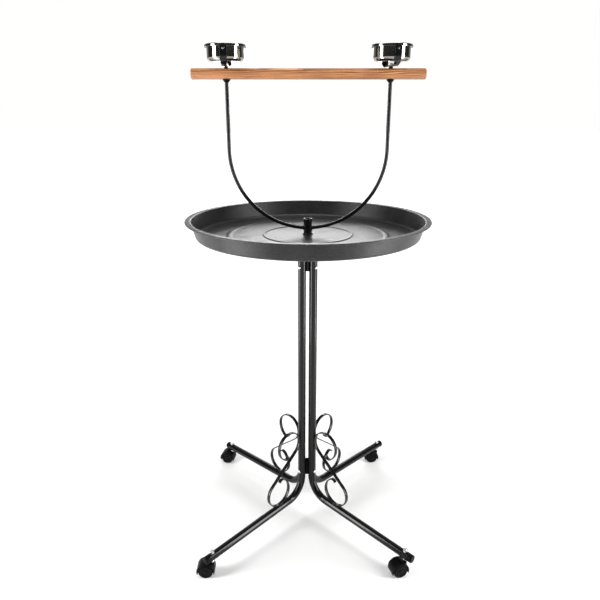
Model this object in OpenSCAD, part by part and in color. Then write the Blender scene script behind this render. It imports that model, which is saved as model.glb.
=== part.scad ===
// Parrot play stand: a round tray on four bent-tube legs with casters, and a
// U-shaped hanger that carries a wooden perch and two lift-out feeding cups.
// Millimetres, +Z up, origin on the floor under the stand's upright axis.

/* [Frame tubes] */
// Outer diameter of the pole, socket and spacer tubes
tube_d = 20; // [17:0.5:23]
// Wall of the steel tubes
tube_wall = 1.5; // [1:0.1:2]
// Height of the pole tops, which carry the tray
pole_top_z = 800.5; // [600:0.5:1000]
// Radius of the bend from pole to leg, on the tube's centre line
bend_r = 55; // [40:1:70]
// Fall of a leg towards its end, in degrees
leg_slope = 3.4; // [1:0.1:5]
// Distance from the upright axis to the end of a leg
leg_reach = 357; // [290:1:440]
// Gap between pieces that are clamped or welded together
seat_gap = 0.1; // [0.05:0.05:0.3]

/* [Pole fixings] */
// Length of the socket tube below the pole tops
socket_depth = 90; // [70:1:200]
// Length of the socket tube above the pole tops
socket_rise = 40; // [35:1:60]
// Length of the spacer tube just above the bends
spacer_len = 40; // [30:1:80]
// Height of the spacer tube's lower end above the bends
spacer_lift = 1.5; // [0.5:0.5:20]
// Distance of the upper screws above the socket tube's lower end
upper_screw_up = 13; // [8:1:25]
// Distance of the lower screws above the spacer tube's lower end
lower_screw_up = 16; // [8:1:25]
// Shank diameter of the pole screws
screw_d = 4; // [3:0.5:5]
// Head diameter of the pole screws
screw_head_d = 8.6; // [7:0.2:10]
// Head height of the pole screws
screw_head_h = 3; // [2:0.2:4]

/* [Leg ends] */
// Length of the end plug's visible head
plug_head = 13; // [8:1:16]
// Length of the end plug's spigot inside the tube
plug_spigot = 4; // [3:0.5:5]
// Edge chamfer of the end plug
plug_chamfer = 1.6; // [0.5:0.1:3]
// Distance from a leg's end to its caster stem
stem_inset = 22; // [22:1:40]

/* [Scrolls] */
// Radius of a scroll's loops, on the strip's centre line
scroll_r = 36.5; // [28:0.5:42]
// Radius at which each end opens before it curls in
scroll_end_r = 41; // [37:0.5:46]
// Radius of the small curl at each end
curl_r = 9; // [7:0.5:12]
// Distance from the upright axis to the lower loop's centre
scroll_out = 109; // [100:1:130]
// Height of the upper loop's centre
scroll_up = 241; // [236:1:290]
// Width of the steel strip
strip_w = 9; // [6:0.5:12]
// Thickness of the steel strip
strip_t = 3; // [2:0.25:4]

/* [Casters] */
// Wheel diameter
wheel_d = 36; // [32:1:50]
// Width of one wheel
wheel_w = 9.5; // [8:0.5:14]
// Rounding of a wheel's edges
wheel_round = 2.5; // [1:0.5:3.5]
// Distance from the swivel axis to the axle
trail = 16; // [15:0.5:17]
// Thickness of the hood's web between the wheels
web_t = 11; // [11:0.5:16]
// Thickness of the hood over the wheels
hood_t = 2.6; // [2:0.2:4]
// Gap between the wheels and the hood
hood_gap = 1.5; // [1:0.25:3]
// How far the hood's two ends come down below the axle, in degrees
hood_drop = 16; // [0:1:25]
// Gap between the top of the hood and the leg's underside
hood_clear = 3.5; // [2.5:0.5:25]
// Axle diameter
axle_d = 5; // [4:0.5:6]
// Diameter of the caster stem
stem_d = 7; // [6:0.5:8]
// Diameter of the stem's flange
flange_d = 12; // [11:0.5:14]
// Thickness of the stem's flange
flange_t = 4; // [2:0.5:5]
// Width across the flats of the stem nuts
stem_nut_af = 11; // [10:0.5:13]
// Height of the stem nuts
stem_nut_h = 5.5; // [4:0.5:7]
// Radial clearance of a running fit
run_gap = 0.08; // [0.04:0.01:0.1]
// Gap between faces that move past each other
move_gap = 0.35; // [0.3:0.05:0.6]

/* [Tray] */
// Outer radius of the tray's rim
tray_r = 292; // [240:1:350]
// Width of the flat rim
rim_w = 14.4; // [10:0.2:20]
// Thickness of the tray's sheet
tray_t = 1.2; // [0.8:0.1:2]
// Height of the rim above the tray's underside
tray_h = 41.5; // [30:0.5:60]
// How far the wall leans outwards from the floor to the rim
wall_lean = 9; // [2:0.5:20]
// Inner radius of the corner between floor and wall
tray_corner_r = 8; // [4:0.5:12]
// Thickness of the rim's rolled edge
rim_roll = 3.4; // [2.8:0.2:6]
// Radius to the middle of the outer pressed ring
ring1_r = 189; // [150:1:220]
// Width of the outer pressed ring
ring1_w = 15; // [8:0.5:20]
// Radius to the middle of the inner pressed ring
ring2_r = 106; // [60:1:130]
// Width of the inner pressed ring
ring2_w = 8; // [5:0.5:15]
// Height of the pressed rings
ring_h = 1.6; // [0.8:0.2:2.4]
// Width of the collar that holds the tray down, beyond the socket tube
collar_w = 2.5; // [1.5:0.5:7]
// Height of the collar
collar_h = 3.2; // [2:0.2:6]

/* [Hanger and perch] */
// Rod diameter of the U-shaped hanger
rod_d = 8.5; // [6:0.5:10]
// Half distance between the hanger's two uprights
hanger_half_w = 183; // [150:0.5:220]
// Height of the hanger rod's axis above the pole tops, at the bottom of the U
hanger_rise = 17.5; // [14:0.5:22]
// Height of the perch's axis above the pole tops
perch_rise = 363.5; // [275:0.5:495]
// Perch diameter
perch_d = 23.4; // [20:0.2:35]
// Perch length
perch_len = 523; // [450:1:640]
// Chamfer at the perch's ends
perch_chamfer = 1.5; // [0.5:0.5:4]
// Diameter of the rod's stud through the perch
stud_d = 6; // [5:0.5:7]
// Widest diameter of the conical seat under the perch
seat_d = 17; // [13:0.5:22]
// Height of the conical seat
seat_h = 5.5; // [4:0.5:10]

/* [Cups and holders] */
// Outer diameter of a cup's body
cup_d = 83; // [70:1:100]
// Depth of a cup over all
cup_h = 36; // [28:1:50]
// Radial reach of the cup's lip beyond its body
lip_w = 5; // [4.5:0.5:7]
// Sheet thickness of a cup
cup_t = 0.9; // [0.7:0.1:1.5]
// Outer radius of the cup's bottom corner
cup_corner_r = 9; // [5:0.5:14]
// Height of a cup's underside above the perch
cup_above_perch = 12.5; // [11:0.5:25]
// Wire diameter of the ring that a cup hangs in
ring_wire_d = 3; // [2.5:0.25:3.5]
// Width of the strap's arms
strap_w = 16; // [12:0.5:24]
// Width of the strap at its foot
strap_foot_w = 11.5; // [10:0.5:16]
// Thickness of the strap
strap_t = 2; // [1.5:0.25:3]
// Radius of the strap's lower bends, on its outer face
strap_bend_r = 20; // [12:1:24]
// Thickness of the ring's two tabs
tab_t = 1.4; // [1:0.1:2]
// Height of the spacer between perch and strap
foot_gap = 2.6; // [2:0.2:6]
// Outer diameter of that spacer
foot_d = 9.5; // [8.5:0.5:14]
// Shank diameter of the strap's rivets
rivet_d = 3; // [2.5:0.25:4]
// Turn of the right-hand cup holder about its stud, in degrees
right_turn = 11; // [0:1:45]

/* [Hidden] */
$fn = 64;

// Compass angle of each leg, and of the way its caster trails
AZ_FL = 225.8;
AZ_FR = 315.5;
AZ_BL = 134.9;
AZ_BR = 47.1;
TRAIL_FL = 180;
TRAIL_FR = 195;
TRAIL_BL = 168;
TRAIL_BR = 185;

// Colours
charcoal = "#3b3d3f";
black = "#1a1a1c";
zinc = "#c9ccd0";
steel = "#d8dadc";
wood = "#cf9562";

// Frame
tube_r = tube_d / 2;
bore_d = tube_d - 2 * tube_wall;
wheel_r = wheel_d / 2;
hood_in_r = wheel_r + hood_gap;
hood_out_r = hood_in_r + hood_t;
caster_h = wheel_r + hood_out_r + hood_clear;
pole_off = tube_d + seat_gap;
stem_at = leg_reach - stem_inset;
bend_end_r = pole_off + bend_r * (1 - sin(leg_slope));
function leg_z(r) = caster_h + tube_r / cos(leg_slope) + (stem_at - r) * tan(leg_slope);
bend_z = leg_z(bend_end_r) + bend_r * cos(leg_slope);
tube_end_r = leg_reach - plug_head * cos(leg_slope);
leg_len = (tube_end_r - bend_end_r) / cos(leg_slope);
past = 1;
seam_w = 0.8;
seam_proud = 0.1;

// Fixings
socket_z0 = pole_top_z - socket_depth;
spacer_z0 = bend_z + spacer_lift;
upper_screw_z = socket_z0 + upper_screw_up;
lower_screw_z = spacer_z0 + lower_screw_up;
hole_gap = 0.15;
thread_gap = 0.03;
screw_seat = pole_off + tube_r + seat_gap / 2;
screw_tip = tube_r - tube_wall - 1.5;
screw_slot_w = 1;
screw_slot_len = 4.6;
screw_slot_depth = 1.4;

// Casters
axle_z = wheel_r;
caster_w = web_t + 2 * move_gap + 2 * wheel_w;
wheel_y = web_t / 2 + move_gap + wheel_w / 2;
web_drop = 10;
boss_d = web_t - 1;
flange_z1 = caster_h - flange_d / 2 * tan(leg_slope) - seat_gap;
flange_z0 = flange_z1 - flange_t;
boss_z1 = flange_z0 - move_gap;
snap_d = stem_d + 1.6;
snap_h = 2.5;
snap_up = 7;
snap_z1 = axle_z + snap_up;
hub_wall = 1.5;
hub_recess_d = wheel_d * 0.66;
hub_recess = 1;
stem_nut_z = caster_h + tube_d / cos(leg_slope) + stem_nut_af / 2 * tan(leg_slope) + seat_gap;
stem_top = stem_nut_z + stem_nut_h + 1.2;

// Scrolls: the two loops are one shape, turned half round their middle
loop_gap = seat_gap + strip_t / 2 + scroll_r;
loop_a = [scroll_out, leg_z(scroll_out) + (tube_r + loop_gap) / cos(leg_slope)];
loop_b = [pole_off + tube_r + loop_gap, scroll_up];
scroll_mid = (loop_a + loop_b) / 2;
half_span = norm(loop_b - loop_a) / 2;
span_angle = atan2(loop_b[1] - loop_a[1], loop_b[0] - loop_a[0]);
tangent_angle = span_angle - acos(scroll_r / half_span);
end_sweep = 58;
curl_sweep = 105;

// Tray
tray_z0 = pole_top_z + seat_gap;
floor_z = tray_z0 + tray_t;
rim_z = tray_z0 + tray_h;
wall_top_r = tray_r - rim_w;
wall_foot_r = wall_top_r - wall_lean;
tray_hole_gap = 0.25;
tray_hole_r = tube_r + tray_hole_gap;
collar_z = floor_z + seat_gap / 2;
collar_d = tube_d + 2 * collar_w;
collar_top_d = tube_d + 2;
roll_r = rim_roll / 2;

// Hanger and perch
hanger_z = pole_top_z + hanger_rise;
perch_z = pole_top_z + perch_rise;
arc_z = hanger_z + hanger_half_w;
perch_r = perch_d / 2;
seat_z1 = perch_z - perch_r - seat_gap;
perch_hole_d = stud_d + 0.6;
foot_z0 = perch_z + perch_r + seat_gap;
strap_z0 = perch_z + perch_r + foot_gap + move_gap;
foot_z1 = strap_z0 - move_gap;
holder_nut_z = strap_z0 + strap_t + move_gap;
holder_nut_h = 4.6;
holder_nut_af = 10;
stud_top = holder_nut_z + holder_nut_h + 0.6;

// Cups and holders
cup_r = cup_d / 2;
cup_z0 = perch_z + perch_r + cup_above_perch;
cup_z1 = cup_z0 + cup_h;
lip_r = (lip_w + cup_t) / 2;
lip_drop = 3;
ring_gap = 0.5;
ring_r = cup_r + ring_gap + ring_wire_d / 2;
ring_drop = 1;
ring_z = cup_z1 - cup_t - move_gap - ring_wire_d / 2 - ring_drop;
tab_w = 11;
tab_h = 11;
tab_in = cup_r + ring_gap + 0.2;
arm_in = tab_in + tab_t + seat_gap;
arm_out = arm_in + strap_t;
arm_top = cup_z1 - lip_r - lip_drop - move_gap;
rivet_down = 4.5;
rivet_z = arm_top - rivet_down;
rivet_head_d = rivet_d * 1.9;
rivet_head_h = 1.1;
foot_taper_z = cup_z0 + 2;

// ---- shared shapes -------------------------------------------------------

module corner(az) {
    rotate([0, 0, az]) children();
}

module at_stem(az, heading) {
    corner(az) translate([stem_at, 0, 0]) rotate([0, 0, heading - az]) children();
}

module tube(len) {
    difference() {
        cylinder(d = tube_d, h = len);
        translate([0, 0, -past]) cylinder(d = bore_d, h = len + 2 * past);
    }
}

// A ring slightly thicker than the tube's wall, which closes the seam between
// two stretches of tube
module seam() {
    translate([0, 0, -seam_w / 2])
        difference() {
            cylinder(d = tube_d + 2 * seam_proud, h = seam_w);
            translate([0, 0, -past]) cylinder(d = bore_d - 2 * seam_proud, h = seam_w + 2 * past);
        }
}

module bent_tube() {
    translate([pole_off, 0, bend_z]) {
        tube(pole_top_z - bend_z);
        seam();
    }
    translate([pole_off + bend_r, 0, bend_z])
        rotate([90, 0, 0])
            rotate([0, 0, 180])
                rotate_extrude(angle = 90 - leg_slope)
                    translate([bend_r, 0])
                        difference() {
                            circle(d = tube_d);
                            circle(d = bore_d);
                        }
    translate([bend_end_r, 0, leg_z(bend_end_r)])
        rotate([0, 90 + leg_slope, 0]) {
            translate([0, 0, seam_w / 4]) tube(leg_len - seam_w / 4);
            seam();
        }
}

module hex_nut(af, bore, h) {
    difference() {
        cylinder(d = af / cos(30), h = h, $fn = 6);
        translate([0, 0, -past]) cylinder(d = bore, h = h + 2 * past);
    }
}

// ---- frame ---------------------------------------------------------------

module leg(az) {
    color(charcoal)
        corner(az)
            difference() {
                bent_tube();
                for (z = [lower_screw_z, upper_screw_z])
                    translate([0, 0, z])
                        rotate([0, 90, 0])
                            cylinder(d = screw_d + 2 * hole_gap, h = pole_off + tube_d);
                translate([stem_at, 0, caster_h - tube_r])
                    cylinder(d = stem_d + 2 * hole_gap, h = 2 * tube_d);
            }
}

module centre_tube(z0, len, screw_z) {
    difference() {
        translate([0, 0, z0]) tube(len);
        for (az = [AZ_FL, AZ_FR, AZ_BL, AZ_BR])
            corner(az)
                translate([0, 0, screw_z])
                    rotate([0, 90, 0]) cylinder(d = screw_d + 2 * thread_gap, h = tube_d);
    }
}

module socket_tube() {
    color(charcoal)
        difference() {
            centre_tube(socket_z0, socket_depth + socket_rise, upper_screw_z);
            translate([-tube_d, 0, hanger_z])
                rotate([0, 90, 0]) cylinder(d = rod_d + 4 * hole_gap, h = 2 * tube_d);
        }
}

module spacer_tube() {
    color(black) centre_tube(spacer_z0, spacer_len, lower_screw_z);
}

module pole_screw() {
    difference() {
        union() {
            translate([0, 0, screw_tip - screw_seat])
                cylinder(d = screw_d, h = screw_seat - screw_tip + screw_head_h / 3);
            cylinder(d = screw_head_d, h = screw_head_h / 2);
            translate([0, 0, screw_head_h / 2])
                cylinder(d1 = screw_head_d, d2 = screw_head_d * 0.6, h = screw_head_h / 2);
        }
        for (turn = [0, 90])
            rotate([0, 0, turn])
                translate([-screw_slot_len / 2, -screw_slot_w / 2, screw_head_h - screw_slot_depth])
                    cube([screw_slot_len, screw_slot_w, screw_slot_depth + past]);
    }
}

module pole_screws(z) {
    color(zinc)
        for (az = [AZ_FL, AZ_FR, AZ_BL, AZ_BR])
            corner(az)
                translate([screw_seat, 0, z]) rotate([0, 90, 0]) pole_screw();
}

// One loop of the scroll from its curled end to its straight middle, offset from
// the strip's centre line
function loop_side(shift) = let (
    curl_angle = 180 - end_sweep,
    end_centre = loop_a + [scroll_end_r - scroll_r, 0],
    curl_reach = scroll_end_r - curl_r,
    curl_centre = end_centre + curl_reach * [cos(curl_angle), sin(curl_angle)]
) concat(
    arc(curl_centre, curl_r + shift, curl_angle - curl_sweep, curl_angle, 12),
    arc(end_centre, scroll_end_r + shift, curl_angle, 180, 8),
    arc(loop_a, scroll_r + shift, 180, 360 + tangent_angle, 32)
);
function arc(centre, r, from, to, steps) = [
    for (i = [0:steps])
        let (a = from + (to - from) * i / steps)
            centre + r * [cos(a), sin(a)]
];
function half_turn(points) = [for (p = points) 2 * scroll_mid - p];

module scroll(az) {
    outside = loop_side(strip_t / 2);
    inside = loop_side(-strip_t / 2);
    color(charcoal)
        corner(az)
            rotate([90, 0, 0])
                linear_extrude(strip_w, center = true)
                    polygon(concat(
                        outside, reverse(half_turn(inside)), half_turn(outside), reverse(inside)
                    ));
}

module end_plug(az) {
    color(black)
        corner(az)
            translate([tube_end_r, 0, leg_z(tube_end_r)])
                rotate([0, 90 + leg_slope, 0]) {
                    translate([0, 0, seat_gap])
                        cylinder(d = tube_d, h = plug_head - plug_chamfer - seat_gap);
                    translate([0, 0, plug_head - plug_chamfer])
                        cylinder(d1 = tube_d, d2 = tube_d - 2 * plug_chamfer, h = plug_chamfer);
                    translate([0, 0, -plug_spigot])
                        cylinder(d = bore_d - 2 * seat_gap, h = plug_spigot + 2 * seat_gap);
                }
}

// ---- casters -------------------------------------------------------------

module stem(az) {
    color(zinc)
        corner(az)
            translate([stem_at, 0, 0]) {
                translate([0, 0, snap_z1]) cylinder(d = stem_d, h = stem_top - snap_z1);
                translate([0, 0, flange_z0]) cylinder(d = flange_d, h = flange_t);
                translate([0, 0, snap_z1 - snap_h]) cylinder(d = snap_d, h = snap_h);
            }
}

module stem_nuts() {
    color(zinc)
        for (az = [AZ_FL, AZ_FR, AZ_BL, AZ_BR])
            corner(az)
                translate([stem_at, 0, stem_nut_z])
                    hex_nut(stem_nut_af, stem_d + 2 * thread_gap, stem_nut_h);
}

module hood(az, heading) {
    color(black)
        at_stem(az, heading)
            difference() {
                union() {
                    translate([trail, 0, axle_z])
                        rotate([90, 0, 0]) {
                            rotate([0, 0, -hood_drop])
                                rotate_extrude(angle = 180 + 2 * hood_drop)
                                    translate([hood_in_r, -caster_w / 2])
                                        square([hood_t, caster_w]);
                            difference() {
                                cylinder(r = hood_in_r + hood_t / 2, h = web_t, center = true);
                                translate([-wheel_d, -web_drop - wheel_d, -web_t])
                                    cube([2 * wheel_d, wheel_d, 2 * web_t]);
                            }
                        }
                    translate([0, 0, axle_z]) cylinder(d = boss_d, h = boss_z1 - axle_z);
                }
                translate([trail, 0, axle_z])
                    rotate([90, 0, 0])
                        cylinder(d = axle_d + 2 * thread_gap, h = 2 * web_t, center = true);
                translate([0, 0, snap_z1])
                    cylinder(d = stem_d + 2 * run_gap, h = caster_h);
                translate([0, 0, snap_z1 - snap_h - move_gap])
                    cylinder(d = snap_d + 2 * run_gap, h = snap_h + 2 * move_gap);
            }
}

module axle(az, heading) {
    color(zinc)
        at_stem(az, heading)
            translate([trail, 0, axle_z])
                rotate([90, 0, 0])
                    cylinder(d = axle_d, h = caster_w - 2 * (hub_wall + hub_recess + move_gap), center = true);
}

// side is -1 or 1: which side of the web the wheel runs on
module wheel(az, heading, side) {
    flat_w = wheel_w - 2 * wheel_round;
    color(black)
        at_stem(az, heading)
            translate([trail, side * wheel_y, axle_z])
                rotate([-90 * side, 0, 0])
                    difference() {
                        rotate_extrude() {
                            translate([0, -wheel_w / 2]) square([wheel_r - wheel_round, wheel_w]);
                            translate([0, -flat_w / 2]) square([wheel_r, flat_w]);
                            for (y = [-flat_w / 2, flat_w / 2])
                                translate([wheel_r - wheel_round, y]) circle(r = wheel_round);
                        }
                        translate([0, 0, -wheel_w])
                            cylinder(d = axle_d + 2 * run_gap, h = 1.5 * wheel_w - hub_wall - hub_recess);
                        translate([0, 0, wheel_w / 2 - hub_recess])
                            cylinder(d = hub_recess_d, h = hub_recess + past);
                    }
}

// ---- tray and hanger -----------------------------------------------------

// Half section of the tray's sheet, as one face line of a given height
function press(z) = [
    [ring2_r - ring2_w / 2, z], [ring2_r - ring2_w / 4, z + ring_h],
    [ring2_r + ring2_w / 4, z + ring_h], [ring2_r + ring2_w / 2, z],
    [ring1_r - ring1_w / 2, z], [ring1_r - ring1_w / 4, z + ring_h],
    [ring1_r + ring1_w / 4, z + ring_h], [ring1_r + ring1_w / 2, z]
];
wall_angle = atan2(rim_z - floor_z, wall_lean);
function bend_arc(r, steps) = [
    for (i = [0:steps])
        let (a = -90 + wall_angle * i / steps)
            [wall_foot_r - tray_corner_r + r * cos(a), floor_z + tray_corner_r + r * sin(a)]
];
function reverse(list) = [for (i = [len(list) - 1:-1:0]) list[i]];

function roll_arc(steps) = [
    for (i = [0:steps])
        let (a = 90 - 270 * i / steps)
            [tray_r - roll_r + roll_r * cos(a), rim_z - roll_r + roll_r * sin(a)]
];

module tray() {
    inner = concat([[tray_hole_r, floor_z]], press(floor_z), bend_arc(tray_corner_r, 8));
    outer = concat([[tray_hole_r, tray_z0]], press(tray_z0), bend_arc(tray_corner_r + tray_t, 8));
    rim = concat(
        [[wall_top_r, rim_z]], roll_arc(9),
        [[tray_r - 2 * roll_r, rim_z - tray_t], [wall_top_r + tray_t, rim_z - tray_t]]
    );
    color(charcoal)
        rotate_extrude($fn = 180) polygon(concat(inner, rim, reverse(outer)));
}

module tray_collar() {
    color(charcoal)
        translate([0, 0, collar_z])
            difference() {
                union() {
                    cylinder(d = collar_d, h = collar_h / 2);
                    translate([0, 0, collar_h / 2])
                        cylinder(d1 = collar_d, d2 = collar_top_d, h = collar_h / 2);
                }
                translate([0, 0, -past]) cylinder(d = tube_d + 2 * seat_gap, h = collar_h + 2 * past);
            }
}

module hanger_rod() {
    color(charcoal) {
        translate([0, 0, arc_z])
            rotate([90, 0, 0])
                rotate([0, 0, 180])
                    rotate_extrude(angle = 180)
                        translate([hanger_half_w, 0]) circle(d = rod_d);
        for (side = [-1, 1])
            translate([side * hanger_half_w, 0, arc_z]) {
                cylinder(d = rod_d, h = seat_z1 - arc_z);
                cylinder(d = stud_d, h = stud_top - arc_z);
            }
    }
}

module perch_seats() {
    color(black)
        for (side = [-1, 1])
            translate([side * hanger_half_w, 0, seat_z1 - seat_h])
                difference() {
                    union() {
                        cylinder(d1 = rod_d + 2, d2 = seat_d, h = seat_h * 0.7);
                        translate([0, 0, seat_h * 0.7]) cylinder(d = seat_d, h = seat_h * 0.3);
                    }
                    translate([0, 0, -past])
                        cylinder(d = rod_d + 2 * seat_gap, h = seat_h + 2 * past);
                }
}

module perch() {
    color(wood)
        difference() {
            translate([0, 0, perch_z])
                rotate([0, 90, 0]) {
                    cylinder(d = perch_d, h = perch_len - 2 * perch_chamfer, center = true);
                    for (side = [-1, 1])
                        translate([0, 0, side * (perch_len - perch_chamfer) / 2])
                            cylinder(
                                r1 = perch_r - (side < 0 ? perch_chamfer : 0),
                                r2 = perch_r - (side < 0 ? 0 : perch_chamfer),
                                h = perch_chamfer, center = true
                            );
                }
            for (side = [-1, 1])
                translate([side * hanger_half_w, 0, perch_z - perch_d])
                    cylinder(d = perch_hole_d, h = 2 * perch_d);
        }
}

module holder_spacers() {
    color(black)
        for (side = [-1, 1])
            translate([side * hanger_half_w, 0, foot_z0])
                difference() {
                    cylinder(d = foot_d, h = foot_z1 - foot_z0);
                    translate([0, 0, -past]) cylinder(d = stud_d + 2 * hole_gap, h = foot_gap + 2 * past);
                }
}

module holder_nuts() {
    color(zinc)
        for (side = [-1, 1])
            translate([side * hanger_half_w, 0, holder_nut_z])
                hex_nut(holder_nut_af, stud_d + 2 * thread_gap, holder_nut_h);
}

// ---- cups and their holders ----------------------------------------------

module at_cup(side, turn) {
    translate([side * hanger_half_w, 0, 0]) rotate([0, 0, turn]) children();
}

module cup_ring(side, turn) {
    color(black)
        at_cup(side, turn) {
            translate([0, 0, ring_z])
                rotate_extrude() translate([ring_r, 0]) circle(d = ring_wire_d);
            for (flip = [0, 180])
                rotate([0, 0, flip])
                    difference() {
                        translate([-tab_w / 2, tab_in, ring_z - tab_h]) cube([tab_w, tab_t, tab_h]);
                        translate([0, 0, rivet_z])
                            rotate([-90, 0, 0]) cylinder(d = rivet_d + 2 * thread_gap, h = 2 * cup_r);
                    }
        }
}

module strap_section() {
    bend_y = arm_out - strap_bend_r;
    bend_zc = strap_z0 + strap_bend_r;
    for (side = [0, 1])
        mirror([side, 0]) {
            square_from([0, strap_z0], [bend_y, strap_z0 + strap_t]);
            square_from([arm_in, bend_zc], [arm_out, arm_top]);
            intersection() {
                difference() {
                    translate([bend_y, bend_zc]) circle(r = strap_bend_r);
                    translate([bend_y, bend_zc]) circle(r = strap_bend_r - strap_t);
                }
                square_from([bend_y, strap_z0], [arm_out, bend_zc]);
            }
        }
}

module square_from(lo, hi) {
    translate(lo) square(hi - lo);
}

module cup_strap(side, turn) {
    color(black)
        at_cup(side, turn)
            difference() {
                intersection() {
                    rotate([90, 0, 90])
                        linear_extrude(strap_w, center = true) strap_section();
                    rotate([90, 0, 0])
                        linear_extrude(4 * cup_r, center = true)
                            polygon([
                                [-strap_foot_w / 2, strap_z0 - past], [strap_foot_w / 2, strap_z0 - past],
                                [strap_w / 2, foot_taper_z], [strap_w / 2, cup_z1],
                                [-strap_w / 2, cup_z1], [-strap_w / 2, foot_taper_z]
                            ]);
                }
                translate([0, 0, strap_z0 - past])
                    cylinder(d = stud_d + 2 * run_gap, h = strap_t + 2 * past);
                translate([0, 0, rivet_z])
                    rotate([90, 0, 0])
                        cylinder(d = rivet_d + 2 * thread_gap, h = 4 * cup_r, center = true);
            }
}

module strap_rivets(side, turn) {
    color(zinc)
        at_cup(side, turn)
            for (flip = [0, 180])
                rotate([0, 0, flip])
                    translate([0, tab_in + thread_gap, rivet_z])
                        rotate([-90, 0, 0]) {
                            cylinder(d = rivet_d, h = arm_out - tab_in);
                            translate([0, 0, arm_out - tab_in])
                                cylinder(d1 = rivet_head_d, d2 = rivet_head_d * 0.55, h = rivet_head_h);
                        }
}

// Sheet bowl: floor, corner, wall and a rolled lip that turns down outside
module cup_section(inset) {
    r = cup_r - inset;
    c = cup_corner_r - inset;
    square_from([0, cup_z0 + inset], [r - c, cup_z1]);
    square_from([0, cup_z0 + inset + c], [r, cup_z1]);
    translate([r - c, cup_z0 + inset + c]) circle(r = c);
}

module cup(side, turn) {
    wall_top = cup_z1 - lip_r;
    lip_mid = cup_r - cup_t + lip_r;
    color(steel)
        at_cup(side, turn)
            rotate_extrude($fn = 96) {
                difference() {
                    cup_section(0);
                    cup_section(cup_t);
                    square_from([0, wall_top], [cup_d, cup_z1 + past]);
                }
                difference() {
                    translate([lip_mid, wall_top]) circle(r = lip_r);
                    translate([lip_mid, wall_top]) circle(r = lip_r - cup_t);
                    square_from([0, wall_top - 2 * lip_r], [cup_d, wall_top]);
                }
                square_from([lip_mid + lip_r - cup_t, wall_top - lip_drop], [lip_mid + lip_r, wall_top]);
            }
}

// ---- drawing -------------------------------------------------------------

leg(AZ_FL);  // leg_front_left
leg(AZ_FR);  // leg_front_right
leg(AZ_BL);  // leg_back_left
leg(AZ_BR);  // leg_back_right
scroll(AZ_FL);  // scroll_front_left
scroll(AZ_FR);  // scroll_front_right
scroll(AZ_BL);  // scroll_back_left
scroll(AZ_BR);  // scroll_back_right
end_plug(AZ_FL);  // end_plug_front_left
end_plug(AZ_FR);  // end_plug_front_right
end_plug(AZ_BL);  // end_plug_back_left
end_plug(AZ_BR);  // end_plug_back_right
stem(AZ_FL);  // stem_front_left
stem(AZ_FR);  // stem_front_right
stem(AZ_BL);  // stem_back_left
stem(AZ_BR);  // stem_back_right
stem_nuts();
hood(AZ_FL, TRAIL_FL);  // hood_front_left
hood(AZ_FR, TRAIL_FR);  // hood_front_right
hood(AZ_BL, TRAIL_BL);  // hood_back_left
hood(AZ_BR, TRAIL_BR);  // hood_back_right
axle(AZ_FL, TRAIL_FL);  // axle_front_left
axle(AZ_FR, TRAIL_FR);  // axle_front_right
axle(AZ_BL, TRAIL_BL);  // axle_back_left
axle(AZ_BR, TRAIL_BR);  // axle_back_right
wheel(AZ_FL, TRAIL_FL, -1);  // wheel_front_left_a
wheel(AZ_FL, TRAIL_FL, 1);  // wheel_front_left_b
wheel(AZ_FR, TRAIL_FR, -1);  // wheel_front_right_a
wheel(AZ_FR, TRAIL_FR, 1);  // wheel_front_right_b
wheel(AZ_BL, TRAIL_BL, -1);  // wheel_back_left_a
wheel(AZ_BL, TRAIL_BL, 1);  // wheel_back_left_b
wheel(AZ_BR, TRAIL_BR, -1);  // wheel_back_right_a
wheel(AZ_BR, TRAIL_BR, 1);  // wheel_back_right_b
socket_tube();
spacer_tube();
pole_screws(upper_screw_z);  // upper_screws
pole_screws(lower_screw_z);  // lower_screws
tray();
tray_collar();
hanger_rod();
perch();
perch_seats();
holder_spacers();
holder_nuts();
cup_ring(-1, 0);  // cup_ring_left
cup_ring(1, right_turn);  // cup_ring_right
cup_strap(-1, 0);  // cup_strap_left
cup_strap(1, right_turn);  // cup_strap_right
strap_rivets(-1, 0);  // strap_rivets_left
strap_rivets(1, right_turn);  // strap_rivets_right
cup(-1, 0);  // cup_left
cup(1, right_turn);  // cup_right
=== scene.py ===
# %% [markdown]
# # A parrot play stand
# A round tray on four bent tubes with casters, and above it a U-shaped rod that
# carries a wooden perch and two steel cups. The CAD model fixes every size and
# every joint. This lesson loads it, then makes each visible piece again as a
# smooth mesh, and gives it paint, plastic, steel or wood made from nodes.

# %% Load the CAD frame
import math

import bmesh
import bpy
from mathutils import Matrix, Vector


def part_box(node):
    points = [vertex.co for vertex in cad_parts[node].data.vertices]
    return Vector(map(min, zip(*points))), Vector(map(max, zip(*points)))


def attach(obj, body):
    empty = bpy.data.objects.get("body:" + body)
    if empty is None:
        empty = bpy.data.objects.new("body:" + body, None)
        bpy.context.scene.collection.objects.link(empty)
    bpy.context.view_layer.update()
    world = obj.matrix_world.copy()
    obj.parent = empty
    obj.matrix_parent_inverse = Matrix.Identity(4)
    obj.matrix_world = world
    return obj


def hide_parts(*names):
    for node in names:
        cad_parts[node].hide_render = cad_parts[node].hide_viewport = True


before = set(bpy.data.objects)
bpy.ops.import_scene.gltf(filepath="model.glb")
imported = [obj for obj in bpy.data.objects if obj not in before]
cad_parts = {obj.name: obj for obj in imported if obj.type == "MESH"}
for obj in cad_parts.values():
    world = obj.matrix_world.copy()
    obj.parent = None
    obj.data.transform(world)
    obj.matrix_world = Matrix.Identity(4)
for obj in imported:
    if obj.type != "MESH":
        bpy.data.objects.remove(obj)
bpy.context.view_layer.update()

# %% [markdown]
# ## The camera
# The stand is seen from a little above the perch, looking gently down at it. It
# could be framed with an Empty as a target, but a fixed place and tilt are
# simpler to read and never drift.

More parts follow.
